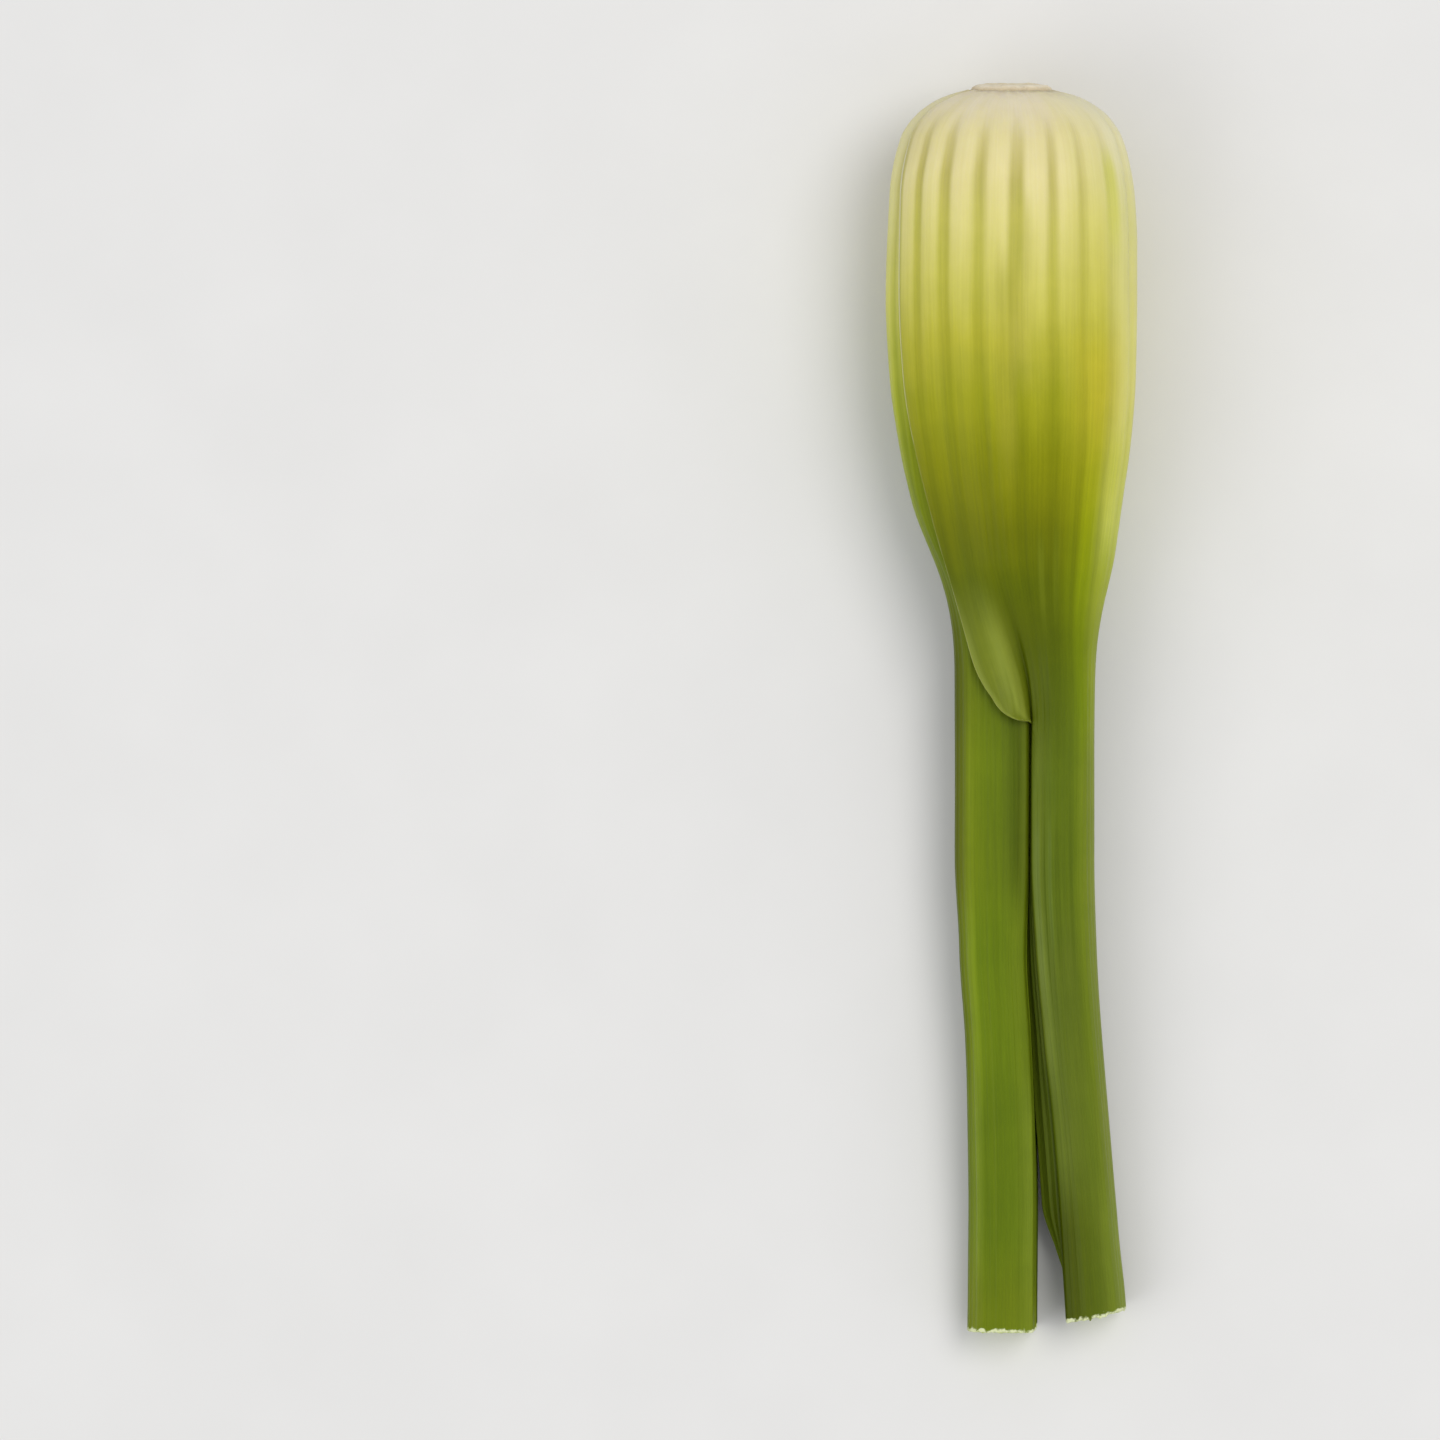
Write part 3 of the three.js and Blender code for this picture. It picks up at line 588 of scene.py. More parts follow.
def build_stem():
    """The short stem: a rough disc of cut tissue with a puckered rim, going up to the heart."""
    prof = Profile([[0, 0.01], [0.12, 0.5], [0.4, 1.8], [0.75, 3.2], [1.0, 4.1], [1.25, 4.65], [1.45, 4.95], [1.65, 5.15],
                    [1.9, 5.3], [2.3, 5.42], [2.9, 5.45], [3.6, 5.4], [4.6, 5.2], [6.0, 4.8], [8.0, 4.1], [9.5, 3.3],
                    [10.6, 2.1], [11.2, 0.01]])
    sk = Profile([[0, 0.12], [0.12, 0.12], [0.4, 0.14], [0.75, 0.2], [1.0, 0.28], [1.25, 0.38], [1.45, 0.48], [1.65, 0.6],
                  [1.9, 0.78], [2.3, 1.1], [2.9, 1.7], [3.6, 2.4], [4.6, 3.4], [6.0, 4.8], [8.0, 6.6], [9.5, 7.9],
                  [10.6, 8.6], [11.2, 8.85]])
    n = 180
    q = np.concatenate([np.linspace(0.03, 1.9, 70), np.linspace(1.95, 11.15, 70)])
    ang = np.linspace(0, 360, n, endpoint=False)
    t = np.radians(ang)
    pts, rr, aa = [], [], []
    for k in q:
        r = float(prof(k)) * (1 + 0.035 * noise(ang / 28, np.full(n, 2.0), 51) * (k > 0.4) + 0.02 * noise(
            ang / 9, np.full(n, k), 52))
        s = float(sk(k)) + (0.09 * noise(r * np.cos(t) / 1.1, r * np.sin(t) / 1.1, 53) + 0.04 * noise(
            r * np.cos(t) / 0.4, r * np.sin(t) / 0.4, 54)) * float(1 - ease(1.6, 2.6, k))
        s = s - 0.03 * np.cos(r / 0.42) * float(1 - ease(1.2, 1.7, k))
        pts.append(np.column_stack([r * np.sin(t), -s, 0.86 * r * np.cos(t)]))
        rr.append(np.full(n, r.mean() / 5.45))
        aa.append(np.full(n, 1.0 - float(ease(1.3, 2.2, k))))
    verts = np.concatenate(pts + [np.array([[0, -0.1, 0]]), np.array([[0, -8.86, 0]])])
    faces = []
    m = len(q)
    for r in range(m - 1):
        for i in range(n):
            a, b = r * n + i, r * n + (i + 1) % n
            faces.append([a, b, b + n, a + n])
    c0, c1, e = len(verts) - 2, len(verts) - 1, (m - 1) * n
    for i in range(n):
        faces.append([c0, (i + 1) % n, i])
        faces.append([c1, e + i, e + (i + 1) % n])
    return make_object("stem_base_skin", verts, faces, {
        "ring": np.concatenate([np.concatenate(rr), [0, 0]]),
        "cut": np.concatenate([np.concatenate(aa), [1, 0]])})


stem_ob = build_stem()


# ------------------------------------------------------------------- materials
def lin(rgb):
    out = []
    for v in rgb:
        v = v / 255.0
        out.append(v / 12.92 if v <= 0.04045 else ((v + 0.055) / 1.055) ** 2.4)
    return out + [1.0]


class Nodes:
    """A short way to write a node tree."""

    def __init__(self, name):
        self.mat = bpy.data.materials.new(name)
        self.mat.use_nodes = True
        self.nt = self.mat.node_tree
        self.nt.nodes.clear()

    def new(self, kind, **k):
        n = self.nt.nodes.new(kind)
        for key, v in k.items():
            setattr(n, key, v)
        return n

    def put(self, node, name, v):
        sock = node.inputs[name]
        if hasattr(v, "links") or isinstance(v, bpy.types.NodeSocket):
            self.nt.links.new(v, sock)
        else:
            sock.default_value = v

    def attr(self, name):
        n = self.new("ShaderNodeAttribute", attribute_name=name)
        return n.outputs["Fac"]

    def math(self, op, a, b=0.0, c=0.0, clamp=False):
        n = self.new("ShaderNodeMath", operation=op, use_clamp=clamp)
        for i, v in enumerate((a, b, c)):
            self.put(n, i, v)
        return n.outputs[0]

    def step(self, x, a, b):
        n = self.new("ShaderNodeMapRange", interpolation_type="SMOOTHSTEP")
        self.put(n, "Value", x)
        self.put(n, "From Min", a)
        self.put(n, "From Max", b)
        return n.outputs[0]

    def remap(self, x, a, b, c, d):
        n = self.new("ShaderNodeMapRange")
        for name, v in zip(("Value", "From Min", "From Max", "To Min", "To Max"), (x, a, b, c, d)):
            self.put(n, name, v)
        return n.outputs[0]

    def ramp(self, fac, stops):
        n = self.new("ShaderNodeValToRGB")
        self.put(n, "Fac", fac)
        el = n.color_ramp.elements
        while len(el) < len(stops):
            el.new(0.5)
        for e, (at, rgb) in zip(el, stops):
            e.position = at
        for e, (at, rgb) in zip(el, stops):
            e.color = lin(rgb)
        return n.outputs["Color"]

    def mix(self, fac, a, b, kind="MIX"):
        n = self.new("ShaderNodeMix", data_type="RGBA", blend_type=kind)
        n.clamp_factor = True
        self.put(n, 0, fac)
        for i, v in ((6, a), (7, b)):
            if isinstance(v, (tuple, list)):
                n.inputs[i].default_value = v
            else:
                self.nt.links.new(v, n.inputs[i])
        return n.outputs[2]

    def vec(self, x, y, z=0.0):
        n = self.new("ShaderNodeCombineXYZ")
        for i, v in enumerate((x, y, z)):
            self.put(n, i, v)
        return n.outputs[0]

    def noise(self, vector, scale, detail=3.0, rough=0.55):
        n = self.new("ShaderNodeTexNoise")
        self.nt.links.new(vector, n.inputs["Vector"])
        n.inputs["Scale"].default_value = scale
        n.inputs["Detail"].default_value = detail
        n.inputs["Roughness"].default_value = rough
        return n.outputs["Fac"]

    def obj(self):
        return self.new("ShaderNodeTexCoord").outputs["Object"]

    def bump(self, height, strength, distance, normal=None):
        n = self.new("ShaderNodeBump")
        n.inputs["Strength"].default_value = strength
        n.inputs["Distance"].default_value = distance
        self.nt.links.new(height, n.inputs["Height"])
        if normal is not None:
            self.nt.links.new(normal, n.inputs["Normal"])
        return n.outputs["Normal"]

    def finish(self, color, rough, normal, subsurface=0.0, radius=(1.0, 1.0, 0.3), scale=0.002, specular=0.5,
               coat=0.0, coat_rough=0.3):
        b = self.new("ShaderNodeBsdfPrincipled")
        self.put(b, "Base Color", color)
        self.put(b, "Roughness", rough)
        b.inputs["Specular IOR Level"].default_value = specular
        b.inputs["IOR"].default_value = 1.42
        b.inputs["Subsurface Weight"].default_value = subsurface
        b.inputs["Subsurface Radius"].default_value = radius
        b.inputs["Subsurface Scale"].default_value = scale
        b.inputs["Coat Weight"].default_value = coat
        b.inputs["Coat Roughness"].default_value = coat_rough
        if normal is not None:
            self.nt.links.new(normal, b.inputs["Normal"])
        o = self.new("ShaderNodeOutputMaterial")
        self.nt.links.new(b.outputs[0], o.inputs[0])
        return self.mat


def at(mm):
    return mm / LENGTH


def away(m, angle, centre):
    d = m.math("ABSOLUTE", m.math("SUBTRACT", angle, centre))
    return m.math("MINIMUM", d, m.math("SUBTRACT", 360.0, d))


def around(m, angle, stops):
    return m.ramp(m.remap(angle, -180.0, 180.0, 0.0, 1.0), [((d + 180.0) / 360.0, c) for d, c in stops])


def leaf_material(name, groove, crest, side, side_at, pale, edge_at, rings, streaks, patches=(), lobe=False, gold=False):
    """Skin of a leaf: cream at the root end, through yellow-green, to the
    green stalk; ribs paler than the grooves between them."""
    m = Nodes(name)
    along, vein, turned = m.attr("along"), m.attr("vein"), m.attr("turned")
    rib, wing, stalked = m.attr("rib"), m.attr("wing"), m.attr("stalk")
    face, cut, core = m.attr("face"), m.attr("cut"), m.attr("core")
    obj = m.obj()

    # slow wander, so that no colour band runs square across the leaf
    lane = m.noise(m.vec(m.math("MULTIPLY", vein, 0.055), m.math("MULTIPLY", along, 3.0)), 1.0, 4.0, 0.6)
    shifted = m.math("ADD", along, m.math("MULTIPLY", m.math("SUBTRACT", lane, 0.5), 0.06))
    col = m.mix(m.step(rib, 0.1, 0.9), m.ramp(shifted, groove), m.ramp(shifted, crest))
    # greener towards one margin; the middle of the leaf is paler along its whole length
    if side:
        col = m.mix(m.step(m.math("ADD", vein, m.math("MULTIPLY", m.math("SUBTRACT", lane, 0.5), 16.0)), *side_at), col,
                    m.mix(m.math("MULTIPLY", m.step(rib, 0.9, 0.1), 0.5), m.ramp(shifted, side), m.ramp(shifted, groove)))
    # a pale band over one side of the leaf: its own paler tissue, and for the outer leaf also painted light where that
    # side turns away from the lamps
    edge = m.math("MULTIPLY", m.step(vein, edge_at[0], edge_at[1]), m.math("SUBTRACT", 1.0, m.step(vein, edge_at[2], edge_at[3])))
    grooved = m.math("MULTIPLY", m.step(away(m, vein, edge_at[1]), 4.0, 22.0), m.step(rib, 0.9, 0.1))
    edge = m.math("MULTIPLY", edge, m.math("SUBTRACT", 0.9, m.math("MULTIPLY", grooved, 0.5)))
    col = m.mix(edge, col, m.ramp(shifted, pale))
    if gold:
        g = m.math("MULTIPLY", m.step(shifted, at(29), at(39)), m.math("SUBTRACT", 1.0, m.step(shifted, at(41), at(54))))
        g = m.math("MULTIPLY", g, m.math("SUBTRACT", 1.0, m.step(away(m, vein, 46.0), 3.0, 24.0)))
        col = m.mix(m.math("MULTIPLY", g, 0.5), col, lin((190, 178, 46)))

    for centre, width, s0, s1, s2, s3, colour, amount in patches:
        b = m.math("SUBTRACT", 1.0, m.step(away(m, vein, centre), width * 0.3, width))
        b = m.math("MULTIPLY", b, m.math("MULTIPLY", m.step(shifted, at(s0), at(s1)), m.math("SUBTRACT", 1.0, m.step(shifted, at(s2), at(s3)))))
        col = m.mix(m.math("MULTIPLY", b, amount), col, lin(colour))

    # the stalk's colours round its section, near the neck and farther down; the ring tables give its own green with
    # painted shade and painted highlight in it
    low = m.math("ADD", along, m.math("MULTIPLY", m.math("SUBTRACT", lane, 0.5), 0.05))
    green = around(m, turned, rings[0][1])
    for s0, stops in rings[1:]:
        green = m.mix(m.step(low, at(s0 - 6), at(s0 + 6)), green, around(m, turned, stops))
    for centre, width, s0, s1, s2, s3, colour, amount in streaks:
        b = m.math("SUBTRACT", 1.0, m.step(away(m, turned, centre), width * 0.3, width))
        b = m.math("MULTIPLY", b, m.math("MULTIPLY", m.step(low, at(s0), at(s1)), m.math("SUBTRACT", 1.0, m.step(low, at(s2), at(s3)))))
        wisp = m.noise(m.vec(m.math("MULTIPLY", turned, 0.16), m.math("MULTIPLY", along, 7.0)), 1.0, 3.0, 0.6)
        b = m.math("MULTIPLY", b, m.remap(wisp, 0.34, 0.62, 0.45, 1.0))
        green = m.mix(m.math("MULTIPLY", b, amount), green, lin(colour))
    col = m.mix(stalked, col, green)
    if lobe:
        # the loose lobe at the sheath's top is thin and light, with a lighter streak down its middle
        on = m.math("MULTIPLY", m.math("MULTIPLY", m.step(wing, 0.0, 0.1), m.step(along, at(66), at(78))),
                    m.math("SUBTRACT", 1.0, m.step(vein, 40.0, 60.0)))
        pal = m.ramp(m.math("SUBTRACT", 1.0, wing), [(0.0, (142, 152, 66)), (0.2, (112, 123, 30)), (0.42, (118, 129, 36)),
                                                     (0.64, (137, 148, 54)), (0.76, (130, 140, 46)), (0.88, (104, 114, 22)), (1.0, (96, 107, 14))])
        col = m.mix(m.math("MULTIPLY", on, 0.92), col, pal)
    else:
        on = m.math("MULTIPLY", m.step(wing, 0.02, 0.5), m.step(along, at(58), at(80)))
        col = m.mix(m.math("MULTIPLY", on, 0.7), col, lin((138, 150, 60)))
    # a painted highlight along the thin edge of each wing
    col = m.mix(m.math("MULTIPLY", m.step(wing, 0.94, 1.0), 0.3), col, lin((206, 206, 112)))

    # fine lengthwise lines
    fine_b = m.noise(m.vec(m.math("MULTIPLY", vein, 0.75), m.math("MULTIPLY", along, 9.0)), 1.0, 4.0, 0.62)
    fine_s = m.noise(m.vec(m.math("MULTIPLY", turned, 0.34), m.math("MULTIPLY", along, 12.0)), 1.0, 4.0, 0.62)
    fine = m.math("ADD", m.math("MULTIPLY", fine_b, m.math("SUBTRACT", 1.0, stalked)), m.math("MULTIPLY", fine_s, stalked))
    much = m.remap(along, at(15), at(70), 0.2, 0.3)
    col = m.mix(much, col, m.mix(m.remap(fine, 0.3, 0.7, 0.0, 1.0), (0.36, 0.37, 0.34, 1), (0.63, 0.62, 0.64, 1)), "OVERLAY")
    mott = m.noise(obj, 160.0, 3.0, 0.6)
    col = m.mix(0.35, col, m.mix(m.remap(mott, 0.3, 0.7, 0.0, 1.0), (0.42, 0.44, 0.42, 1), (0.57, 0.56, 0.58, 1)), "OVERLAY")

    # a little tan where the leaf meets the stem
    rim = m.math("SUBTRACT", 1.0, m.step(m.math("ADD", along, m.math("MULTIPLY", m.math("SUBTRACT", lane, 0.5), 0.014)), at(0.7), at(2.3)))
    spots = m.noise(obj, 900.0, 3.0, 0.6)
    col = m.mix(m.math("MULTIPLY", rim, m.remap(spots, 0.38, 0.62, 0.1, 0.45)), col, lin((190, 172, 128)))
    # inside faces
    inner = m.ramp(along, [(0.0, (226, 220, 186)), (0.3, (214, 216, 150)), (0.45, (160, 176, 80)), (0.6, (112, 130, 40)),
                           (1.0, (110, 130, 40))])
    col = m.mix(m.math("SUBTRACT", 1.0, face), col, inner)

    # the cut end: pale flesh with a ring of darker strands and a spongy middle
    vor = m.new("ShaderNodeTexVoronoi", feature="F1")
    sep = m.new("ShaderNodeSeparateXYZ")
    m.nt.links.new(obj, sep.inputs[0])
    m.nt.links.new(m.vec(sep.outputs[0], sep.outputs[2]), vor.inputs["Vector"])
    vor.inputs["Scale"].default_value = 950.0
    dots = m.math("SUBTRACT", 1.0, m.step(vor.outputs["Distance"], 0.16, 0.34))
    ring = m.math("MULTIPLY", m.step(core, 0.06, 0.14), m.math("SUBTRACT", 1.0, m.step(core, 0.38, 0.6)))
    flesh = m.ramp(core, [(0.0, (216, 222, 176)), (0.03, (206, 214, 156)), (0.07, (172, 188, 100)), (0.14, (194, 205, 130)),
                          (0.45, (206, 213, 152)), (0.75, (219, 223, 178)), (1.0, (226, 228, 192))])
    flesh = m.mix(m.math("MULTIPLY", dots, m.math("MULTIPLY", ring, 0.7)), flesh, lin((132, 156, 62)))
    grainy = m.noise(obj, 1500.0, 2.0, 0.6)
    flesh = m.mix(0.4, flesh, m.mix(m.remap(grainy, 0.3, 0.7, 0.0, 1.0), (0.38, 0.38, 0.38, 1), (0.6, 0.6, 0.6, 1)), "OVERLAY")
    torn = m.noise(obj, 1100.0, 3.0, 0.6)
    edge_cut = m.math("ADD", cut, m.math("MULTIPLY", m.math("SUBTRACT", torn, 0.5), 0.9))
    col = m.mix(m.step(edge_cut, 0.42, 0.62), col, flesh)

    h = m.math("ADD", m.math("MULTIPLY", fine, 0.7), m.math("MULTIPLY", mott, 0.3))
    normal = m.bump(h, 0.3, 0.0002)
    normal = m.bump(m.noise(obj, 2600.0, 2.0, 0.5), 0.1, 0.00005, normal)
    rough = m.remap(fine, 0.25, 0.75, 0.34, 0.46)
    rough = m.math("ADD", rough, m.math("MULTIPLY", m.math("MAXIMUM", rim, cut), 0.25))
    return m.finish(col, rough, normal, subsurface=0.15, radius=(0.9, 1.0, 0.2), scale=0.0018, specular=0.13)


A_GROOVE = [(0.0, (226, 216, 190)), (at(3), (220, 209, 172)), (at(7), (204, 193, 130)), (at(12), (192, 182, 102)),
            (at(18), (190, 184, 88)), (at(27), (184, 180, 70)), (at(35), (168, 165, 46)), (at(43), (146, 149, 22)),
            (at(51), (127, 131, 3)), (at(60), (106, 112, 0)), (at(68), (92, 103, 0)), (at(76), (88, 98, 2)), (1.0, (88, 104, 10))]
A_CREST = [(0.0, (230, 220, 196)), (at(3), (224, 213, 178)), (at(7), (221, 210, 154)), (at(12), (226, 215, 154)),
           (at(18), (220, 211, 134)), (at(27), (204, 198, 98)), (at(35), (183, 179, 58)), (at(43), (157, 158, 28)),
           (at(51), (136, 139, 6)), (at(60), (112, 117, 0)), (at(68), (95, 106, 0)), (at(76), (90, 100, 2)), (1.0, (92, 108, 12))]
A_SIDE = [(0.0, (224, 216, 184)), (at(7), (220, 211, 150)), (at(12), (218, 210, 138)), (at(18), (214, 207, 116)),
          (at(27), (201, 195, 86)), (at(35), (190, 185, 58)), (at(43), (180, 176, 42)), (at(51), (166, 167, 26)),
          (at(60), (145, 154, 4)), (at(68), (131, 145, 3)), (at(76), (120, 134, 5)), (1.0, (108, 122, 14))]
# pale side band of the outer leaf: the thin tissue's own paleness, lifted further as painted light where the side turns
# away from the lamps
A_PALE_AND_PAINTED_LIGHT = [(0.0, (218, 212, 182)), (at(8), (222, 216, 172)), (at(18), (214, 210, 144)), (at(27), (214, 209, 132)),
          (at(35), (220, 215, 128)), (at(43), (217, 212, 120)), (at(51), (208, 207, 100)), (at(60), (196, 201, 88)),
          (at(68), (166, 175, 48)), (at(76), (148, 157, 44)), (1.0, (120, 134, 40))]
# outer leaf's stalk colours round its section, by station down the stalk: its own green and grey bloom, with painted
# shade on the underside and left side, a painted highlight along the right-hand edge, and, at the first station,
# painted shadow just below the neck
A_STALK_GREEN_AND_SHADE = [(0, [(-180, (66, 78, 6)), (-90, (60, 72, 3)), (-60, (76, 88, 6)), (-41, (86, 98, 10)), (-31, (84, 97, 9)), (-4, (82, 97, 6)),
                (16, (94, 110, 5)), (31, (110, 128, 8)), (42, (119, 136, 12)), (54, (127, 142, 24)), (66, (136, 149, 44)),
                (86, (136, 149, 52)), (120, (96, 111, 18))]),
           (90, [(-180, (70, 83, 8)), (-90, (62, 74, 4)), (-60, (80, 93, 10)), (-51, (90, 104, 20)), (-41, (102, 117, 32)),
                (-31, (97, 112, 24)), (-18, (94, 111, 20)), (-4, (90, 107, 13)), (16, (92, 109, 11)), (23, (99, 116, 14)),
                (31, (109, 125, 22)), (42, (114, 129, 28)), (54, (116, 130, 36)), (66, (124, 137, 48)), (86, (126, 138, 52)),
                (120, (96, 111, 18))]),
           (115, [(-180, (68, 80, 6)), (-90, (56, 67, 2)), (-62, (74, 86, 8)), (-50, (95, 108, 27)), (-39, (110, 124, 45)),
                  (-30, (103, 118, 35)), (-21, (93, 108, 25)), (-10, (92, 107, 22)), (15, (93, 108, 21)), (24, (96, 112, 17)),
                  (34, (106, 122, 22)), (46, (113, 128, 34)), (62, (118, 131, 46)), (86, (121, 133, 50)), (120, (92, 106, 16))]),
           (136, [(-180, (66, 79, 5)), (-90, (54, 65, 1)), (-60, (64, 77, 2)), (-50, (80, 94, 10)), (-42, (93, 107, 24)),
                  (-32, (99, 113, 31)), (-15, (96, 110, 27)), (5, (96, 111, 23)), (20, (98, 114, 22)), (30, (103, 118, 25)),
                  (42, (110, 124, 33)), (55, (119, 131, 48)), (86, (125, 137, 54)), (120, (90, 104, 14))]),
           (152, [(-180, (66, 78, 4)), (-90, (56, 66, 0)), (-60, (64, 74, 0)), (-42, (70, 81, 1)), (-30, (77, 88, 5)),
                  (-15, (82, 95, 9)), (0, (86, 100, 11)), (12, (91, 106, 17)), (20, (98, 112, 23)), (30, (108, 123, 30)),
                  (40, (112, 127, 34)), (50, (117, 131, 42)), (66, (126, 140, 54)), (86, (126, 138, 50)), (120, (88, 102, 12))])]
A_STREAKS = [(-41, 9, 98, 106, 118, 128, (112, 128, 60), 0.5), (-16, 5, 98, 105, 112, 122, (106, 124, 50), 0.55),
             (-26, 3.5, 98, 106, 118, 128, (78, 95, 10), 0.6), (-5, 5, 98, 106, 116, 130, (78, 94, 8), 0.5),
             (15, 5, 94, 104, 116, 128, (80, 97, 8), 0.5)]
# patches of colour on the outer leaf; the two darker ones near vein 0 towards the root end are painted shadow
A_PATCHES = [(54, 7, 7, 12, 17, 27, (204, 203, 92), 0.7), (3, 7, 12, 18, 32, 44, (184, 178, 82), 0.45),
             (-4, 7, 20, 28, 44, 58, (160, 156, 50), 0.4), (60, 10, 46, 52, 54, 62, (190, 192, 66), 0.5),
             (12, 3, 60, 66, 70, 78, (112, 122, 22), 0.5), (22, 3, 56, 64, 68, 76, (108, 120, 18), 0.4),
             (16, 2.5, 62, 68, 76, 82, (88, 98, 4), 0.5)]
B_GROOVE = [(0.0, (198, 188, 144)), (at(6), (204, 196, 134)), (at(14), (196, 190, 100)), (at(26), (180, 180, 68)),
            (at(36), (152, 160, 36)), (at(50), (118, 131, 10)), (at(65), (96, 111, 4)), (at(80), (90, 106, 5)), (1.0, (90, 108, 8))]
B_CREST = [(0.0, (214, 205, 168)), (at(6), (220, 211, 158)), (at(14), (218, 210, 138)), (at(26), (202, 199, 98)),
           (at(36), (174, 178, 54)), (at(50), (132, 144, 18)), (at(65), (102, 118, 8)), (at(80), (94, 111, 8)), (1.0, (94, 112, 10))]
B_PALE = [(0.0, (216, 208, 172)), (at(14), (216, 210, 146)), (at(30), (204, 202, 104)), (at(45), (170, 178, 52)),
          (at(60), (130, 145, 18)), (at(80), (108, 126, 14)), (1.0, (104, 122, 14))]
# second leaf's stalk colours round its section, by station: its own green, with painted shade on the left side and on
# the right flank that faces the gap by the outer stalk, a painted highlight on the ridge at its upper left, and, at the
# first station, painted shadow just below the neck
B_STALK_GREEN_AND_SHADE = [(0, [(-180, (80, 95, 8)), (-70, (84, 92, 8)), (-57, (92, 102, 10)), (-39, (106, 120, 16)), (-18, (95, 111, 10)), (0, (92, 108, 10)),
                (19, (78, 93, 4)), (32, (88, 101, 12)), (38, (80, 92, 6)), (52, (58, 70, 2)), (115, (58, 70, 2))]),
           (88, [(-180, (84, 100, 10)), (-90, (86, 95, 8)), (-70, (91, 99, 10)), (-57, (100, 111, 12)), (-47, (110, 124, 16)),
                (-39, (116, 132, 18)), (-30, (109, 126, 13)), (-18, (102, 120, 11)), (0, (98, 116, 12)), (8, (92, 109, 11)),
                (19, (80, 96, 4)), (26, (77, 91, 2)), (32, (91, 105, 15)), (38, (82, 94, 6)), (52, (58, 70, 2)), (115, (58, 70, 2))]),
           (112, [(-180, (90, 107, 10)), (-90, (88, 100, 4)), (-70, (100, 114, 8)), (-56, (114, 130, 19)), (-46, (124, 143, 28)),
                  (-37, (120, 139, 22)), (-30, (103, 124, 10)), (-10, (100, 121, 8)), (6, (100, 120, 10)), (15, (104, 123, 14)),
                  (24, (104, 122, 15)), (32, (98, 115, 13)), (38, (92, 107, 10)), (52, (63, 76, 2)), (115, (63, 76, 2))]),
           (137, [(-180, (88, 104, 10)), (-90, (92, 106, 8)), (-62, (110, 127, 24)), (-49, (124, 142, 40)), (-40, (110, 129, 24)),
                  (-32, (94, 114, 9)), (-10, (93, 113, 7)), (8, (97, 117, 12)), (20, (102, 120, 19)), (30, (110, 127, 28)),
                  (38, (106, 122, 22)), (52, (70, 85, 3)), (115, (66, 80, 3))]),
           (162, [(-180, (96, 107, 12)), (-90, (100, 111, 10)), (-62, (114, 127, 24)), (-49, (118, 132, 30)), (-40, (110, 124, 20)),
                  (-32, (104, 120, 11)), (-10, (103, 119, 10)), (8, (106, 121, 14)), (20, (108, 124, 20)), (30, (113, 128, 26)),
                  (38, (108, 123, 22)), (52, (74, 87, 4)), (115, (70, 82, 4))])]
B_STREAKS = [(-18, 5, 86, 92, 150, 168, (106, 124, 14), 0.4), (-4, 4, 100, 108, 130, 150, (90, 108, 6), 0.35)]
C_BAND = [(-180, (126, 142, 44)), (-120, (108, 126, 30)), (0, (80, 96, 10)), (120, (108, 126, 30)), (180, (126, 142, 44))]

outer_mat = leaf_material("outer_leaf_tissue", A_GROOVE, A_CREST, A_SIDE, (20, 42), A_PALE_AND_PAINTED_LIGHT, (43, 63, 112, 128), A_STALK_GREEN_AND_SHADE,
                          A_STREAKS, A_PATCHES, lobe=True, gold=True)
second_mat = leaf_material("second_leaf_tissue", B_GROOVE, B_CREST, None, None, B_PALE, (-112, -100, -80, -68), B_STALK_GREEN_AND_SHADE, B_STREAKS)
third_mat = leaf_material("third_leaf_tissue", B_CREST, B_CREST, None, None, B_PALE, (165, 175, 185, 195), [(0, C_BAND)], [])


def heart_material():
    m = Nodes("heart_tissue")
    along, vein, obj = m.attr("along"), m.attr("vein"), m.obj()
    col = m.ramp(along, [(0.0, (238, 232, 204)), (0.15, (240, 238, 208)), (0.28, (228, 232, 176)), (0.36, (196, 210, 118)),
                         (0.4, (170, 190, 84))])
    fine = m.noise(m.vec(m.math("MULTIPLY", vein, 0.3), m.math("MULTIPLY", along, 10.0)), 1.0, 4.0, 0.6)
    col = m.mix(0.5, col, m.mix(m.remap(fine, 0.3, 0.7, 0.0, 1.0), (0.4, 0.42, 0.36, 1), (0.6, 0.6, 0.62, 1)), "OVERLAY")
    normal = m.bump(fine, 0.4, 0.0002)
    return m.finish(col, m.remap(fine, 0.2, 0.8, 0.32, 0.48), normal, subsurface=0.3, radius=(1.0, 1.0, 0.6), scale=0.003)


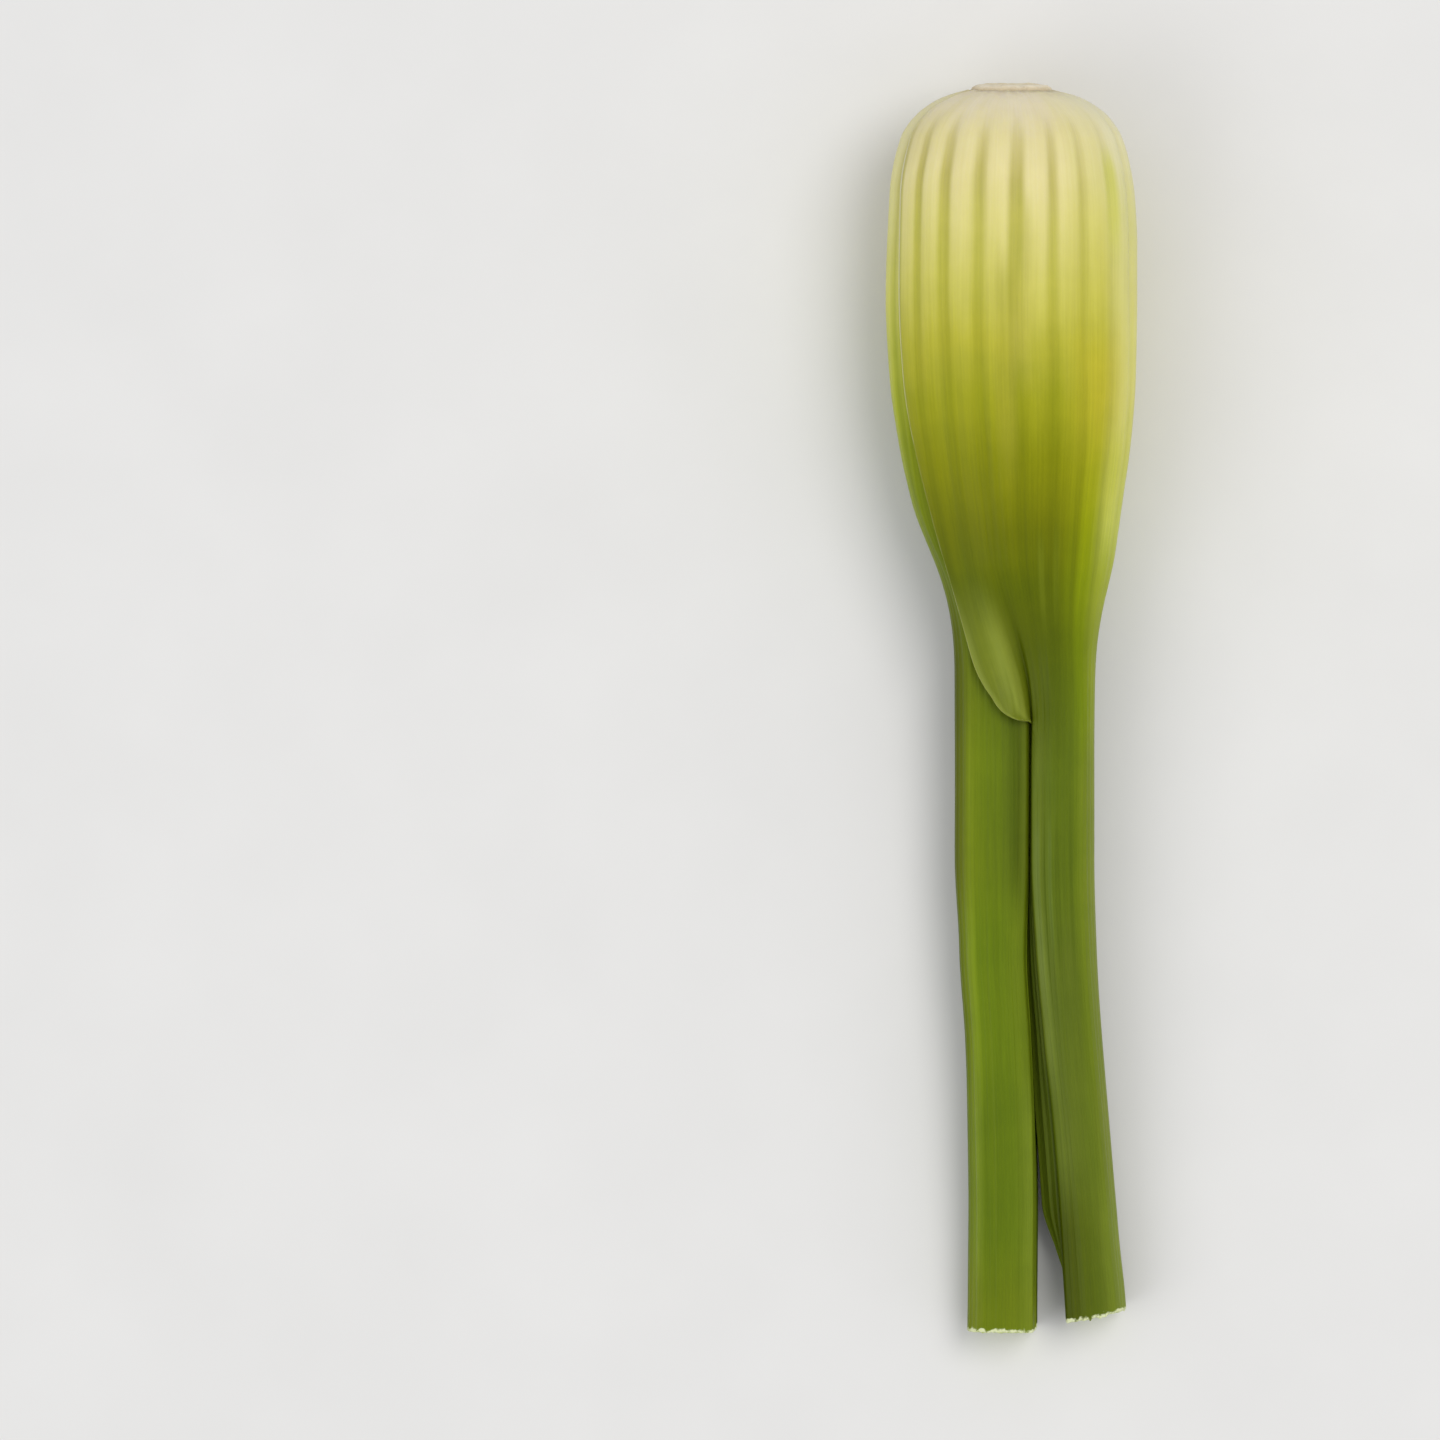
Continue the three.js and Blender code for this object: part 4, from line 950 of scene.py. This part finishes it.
def stem_material():
    m = Nodes("stem_tissue")
    ring, cut, obj = m.attr("ring"), m.attr("cut"), m.obj()
    # cream of the cut stem, lifted partly as painted light where the domed end turns away from the lamps
    col = m.ramp(ring, [(0.0, (214, 202, 170)), (0.25, (228, 217, 190)), (0.5, (226, 215, 186)), (0.6, (212, 198, 162)),
                        (0.68, (226, 215, 186)), (0.84, (230, 220, 198)), (0.93, (228, 217, 192)), (1.0, (206, 190, 156))])
    big = m.noise(obj, 420.0, 4.0, 0.65)
    col = m.mix(m.remap(big, 0.46, 0.72, 0.0, 0.4), col, lin((192, 172, 136)))
    fibre = m.new("ShaderNodeTexVoronoi", feature="F1")
    m.nt.links.new(obj, fibre.inputs["Vector"])
    fibre.inputs["Scale"].default_value = 1500.0
    dots = m.math("SUBTRACT", 1.0, m.step(fibre.outputs["Distance"], 0.12, 0.4))
    col = m.mix(m.math("MULTIPLY", dots, 0.16), col, lin((170, 146, 104)))
    fine = m.noise(obj, 2200.0, 3.0, 0.6)
    col = m.mix(0.3, col, m.mix(fine, (0.38, 0.38, 0.38, 1), (0.62, 0.62, 0.62, 1)), "OVERLAY")
    h = m.math("ADD", m.math("MULTIPLY", big, 0.7), m.math("MULTIPLY", fine, 0.3))
    normal = m.bump(h, 0.35, 0.0003)
    return m.finish(col, m.remap(big, 0.3, 0.7, 0.62, 0.82), normal, subsurface=0.12, radius=(1.0, 0.8, 0.5), scale=0.0015,
                    specular=0.35)


outer.data.materials.append(outer_mat)
second.data.materials.append(second_mat)
third.data.materials.append(third_mat)
heart_ob.data.materials.append(heart_material())
stem_ob.data.materials.append(stem_material())

for piece, node, slot in ((outer, "outer_leaf", "outer_leaf"), (second, "second_leaf", "second_leaf"),
                          (third, "third_leaf", "third_leaf"), (heart_ob, "heart_shoot", "heart"),
                          (stem_ob, "stem_base", "stem")):
    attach(piece, "root")
    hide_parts(node)

# ----------------------------------------------------------------------- stage
floor_me = bpy.data.meshes.new("floor")
floor_me.from_pydata([(-4, -4, 0), (4, -4, 0), (4, 4, 0), (-4, 4, 0)], [], [(0, 1, 2, 3)])
floor = bpy.data.objects.new("floor", floor_me)
bpy.context.scene.collection.objects.link(floor)
fm = Nodes("floor_paper")
n = fm.noise(fm.obj(), 40.0, 3.0, 0.5)
floor_me.materials.append(fm.finish(fm.ramp(n, [(0.3, (225, 224, 221)), (0.7, (228, 227, 224))]), 0.85, None, specular=0.2))

world = bpy.data.worlds.new("studio")
world.use_nodes = True
world.node_tree.nodes["Background"].inputs[0].default_value = (0.95, 0.96, 1.0, 1)
world.node_tree.nodes["Background"].inputs[1].default_value = 0.66
bpy.context.scene.world = world


def area(name, at_m, aim, size, watts, colour):
    d = bpy.data.lights.new(name, "AREA")
    d.shape, d.size, d.energy, d.color = "DISK", size, watts, colour
    o = bpy.data.objects.new(name, d)
    o.location = at_m
    o.rotation_euler = (Vector(aim) - Vector(at_m)).to_track_quat("-Z", "Y").to_euler()
    bpy.context.scene.collection.objects.link(o)


area("key", (0.42, 0.30, 1.05), (0, 0, 0), 0.7, 5.1, (1.0, 0.985, 0.96))
area("fill", (-0.75, -0.35, 0.8), (0, 0, 0), 0.8, 2.6, (0.97, 0.985, 1.0))

# the camera looks straight down on the middle of the tray that the fennel lay in
MM_PER_PX = 0.137
LENS, SENSOR = 300.0, 36.0
cam_x = (720 - 1010) * MM_PER_PX + SHIFT[0]
cam_y = SHIFT[1] - (720 - 85) * MM_PER_PX
plane = 9.0
height = 1440 * MM_PER_PX * LENS / SENSOR
cd = bpy.data.cameras.new("camera")
cd.lens, cd.sensor_width, cd.sensor_fit = LENS, SENSOR, "AUTO"
cd.clip_start, cd.clip_end = 0.01, 20
cam = bpy.data.objects.new("camera", cd)
cam.location = (cam_x / 1000, cam_y / 1000, (height + plane) / 1000)
cam.rotation_euler = (0, 0, 0)
bpy.context.scene.collection.objects.link(cam)
bpy.context.scene.camera = cam
bpy.context.scene.view_settings.view_transform = "Standard"
bpy.context.scene.view_settings.look = "None"
bpy.context.scene.view_settings.exposure = 0.0
bpy.context.scene.view_settings.gamma = 1.0

bpy.context.view_layer.update()
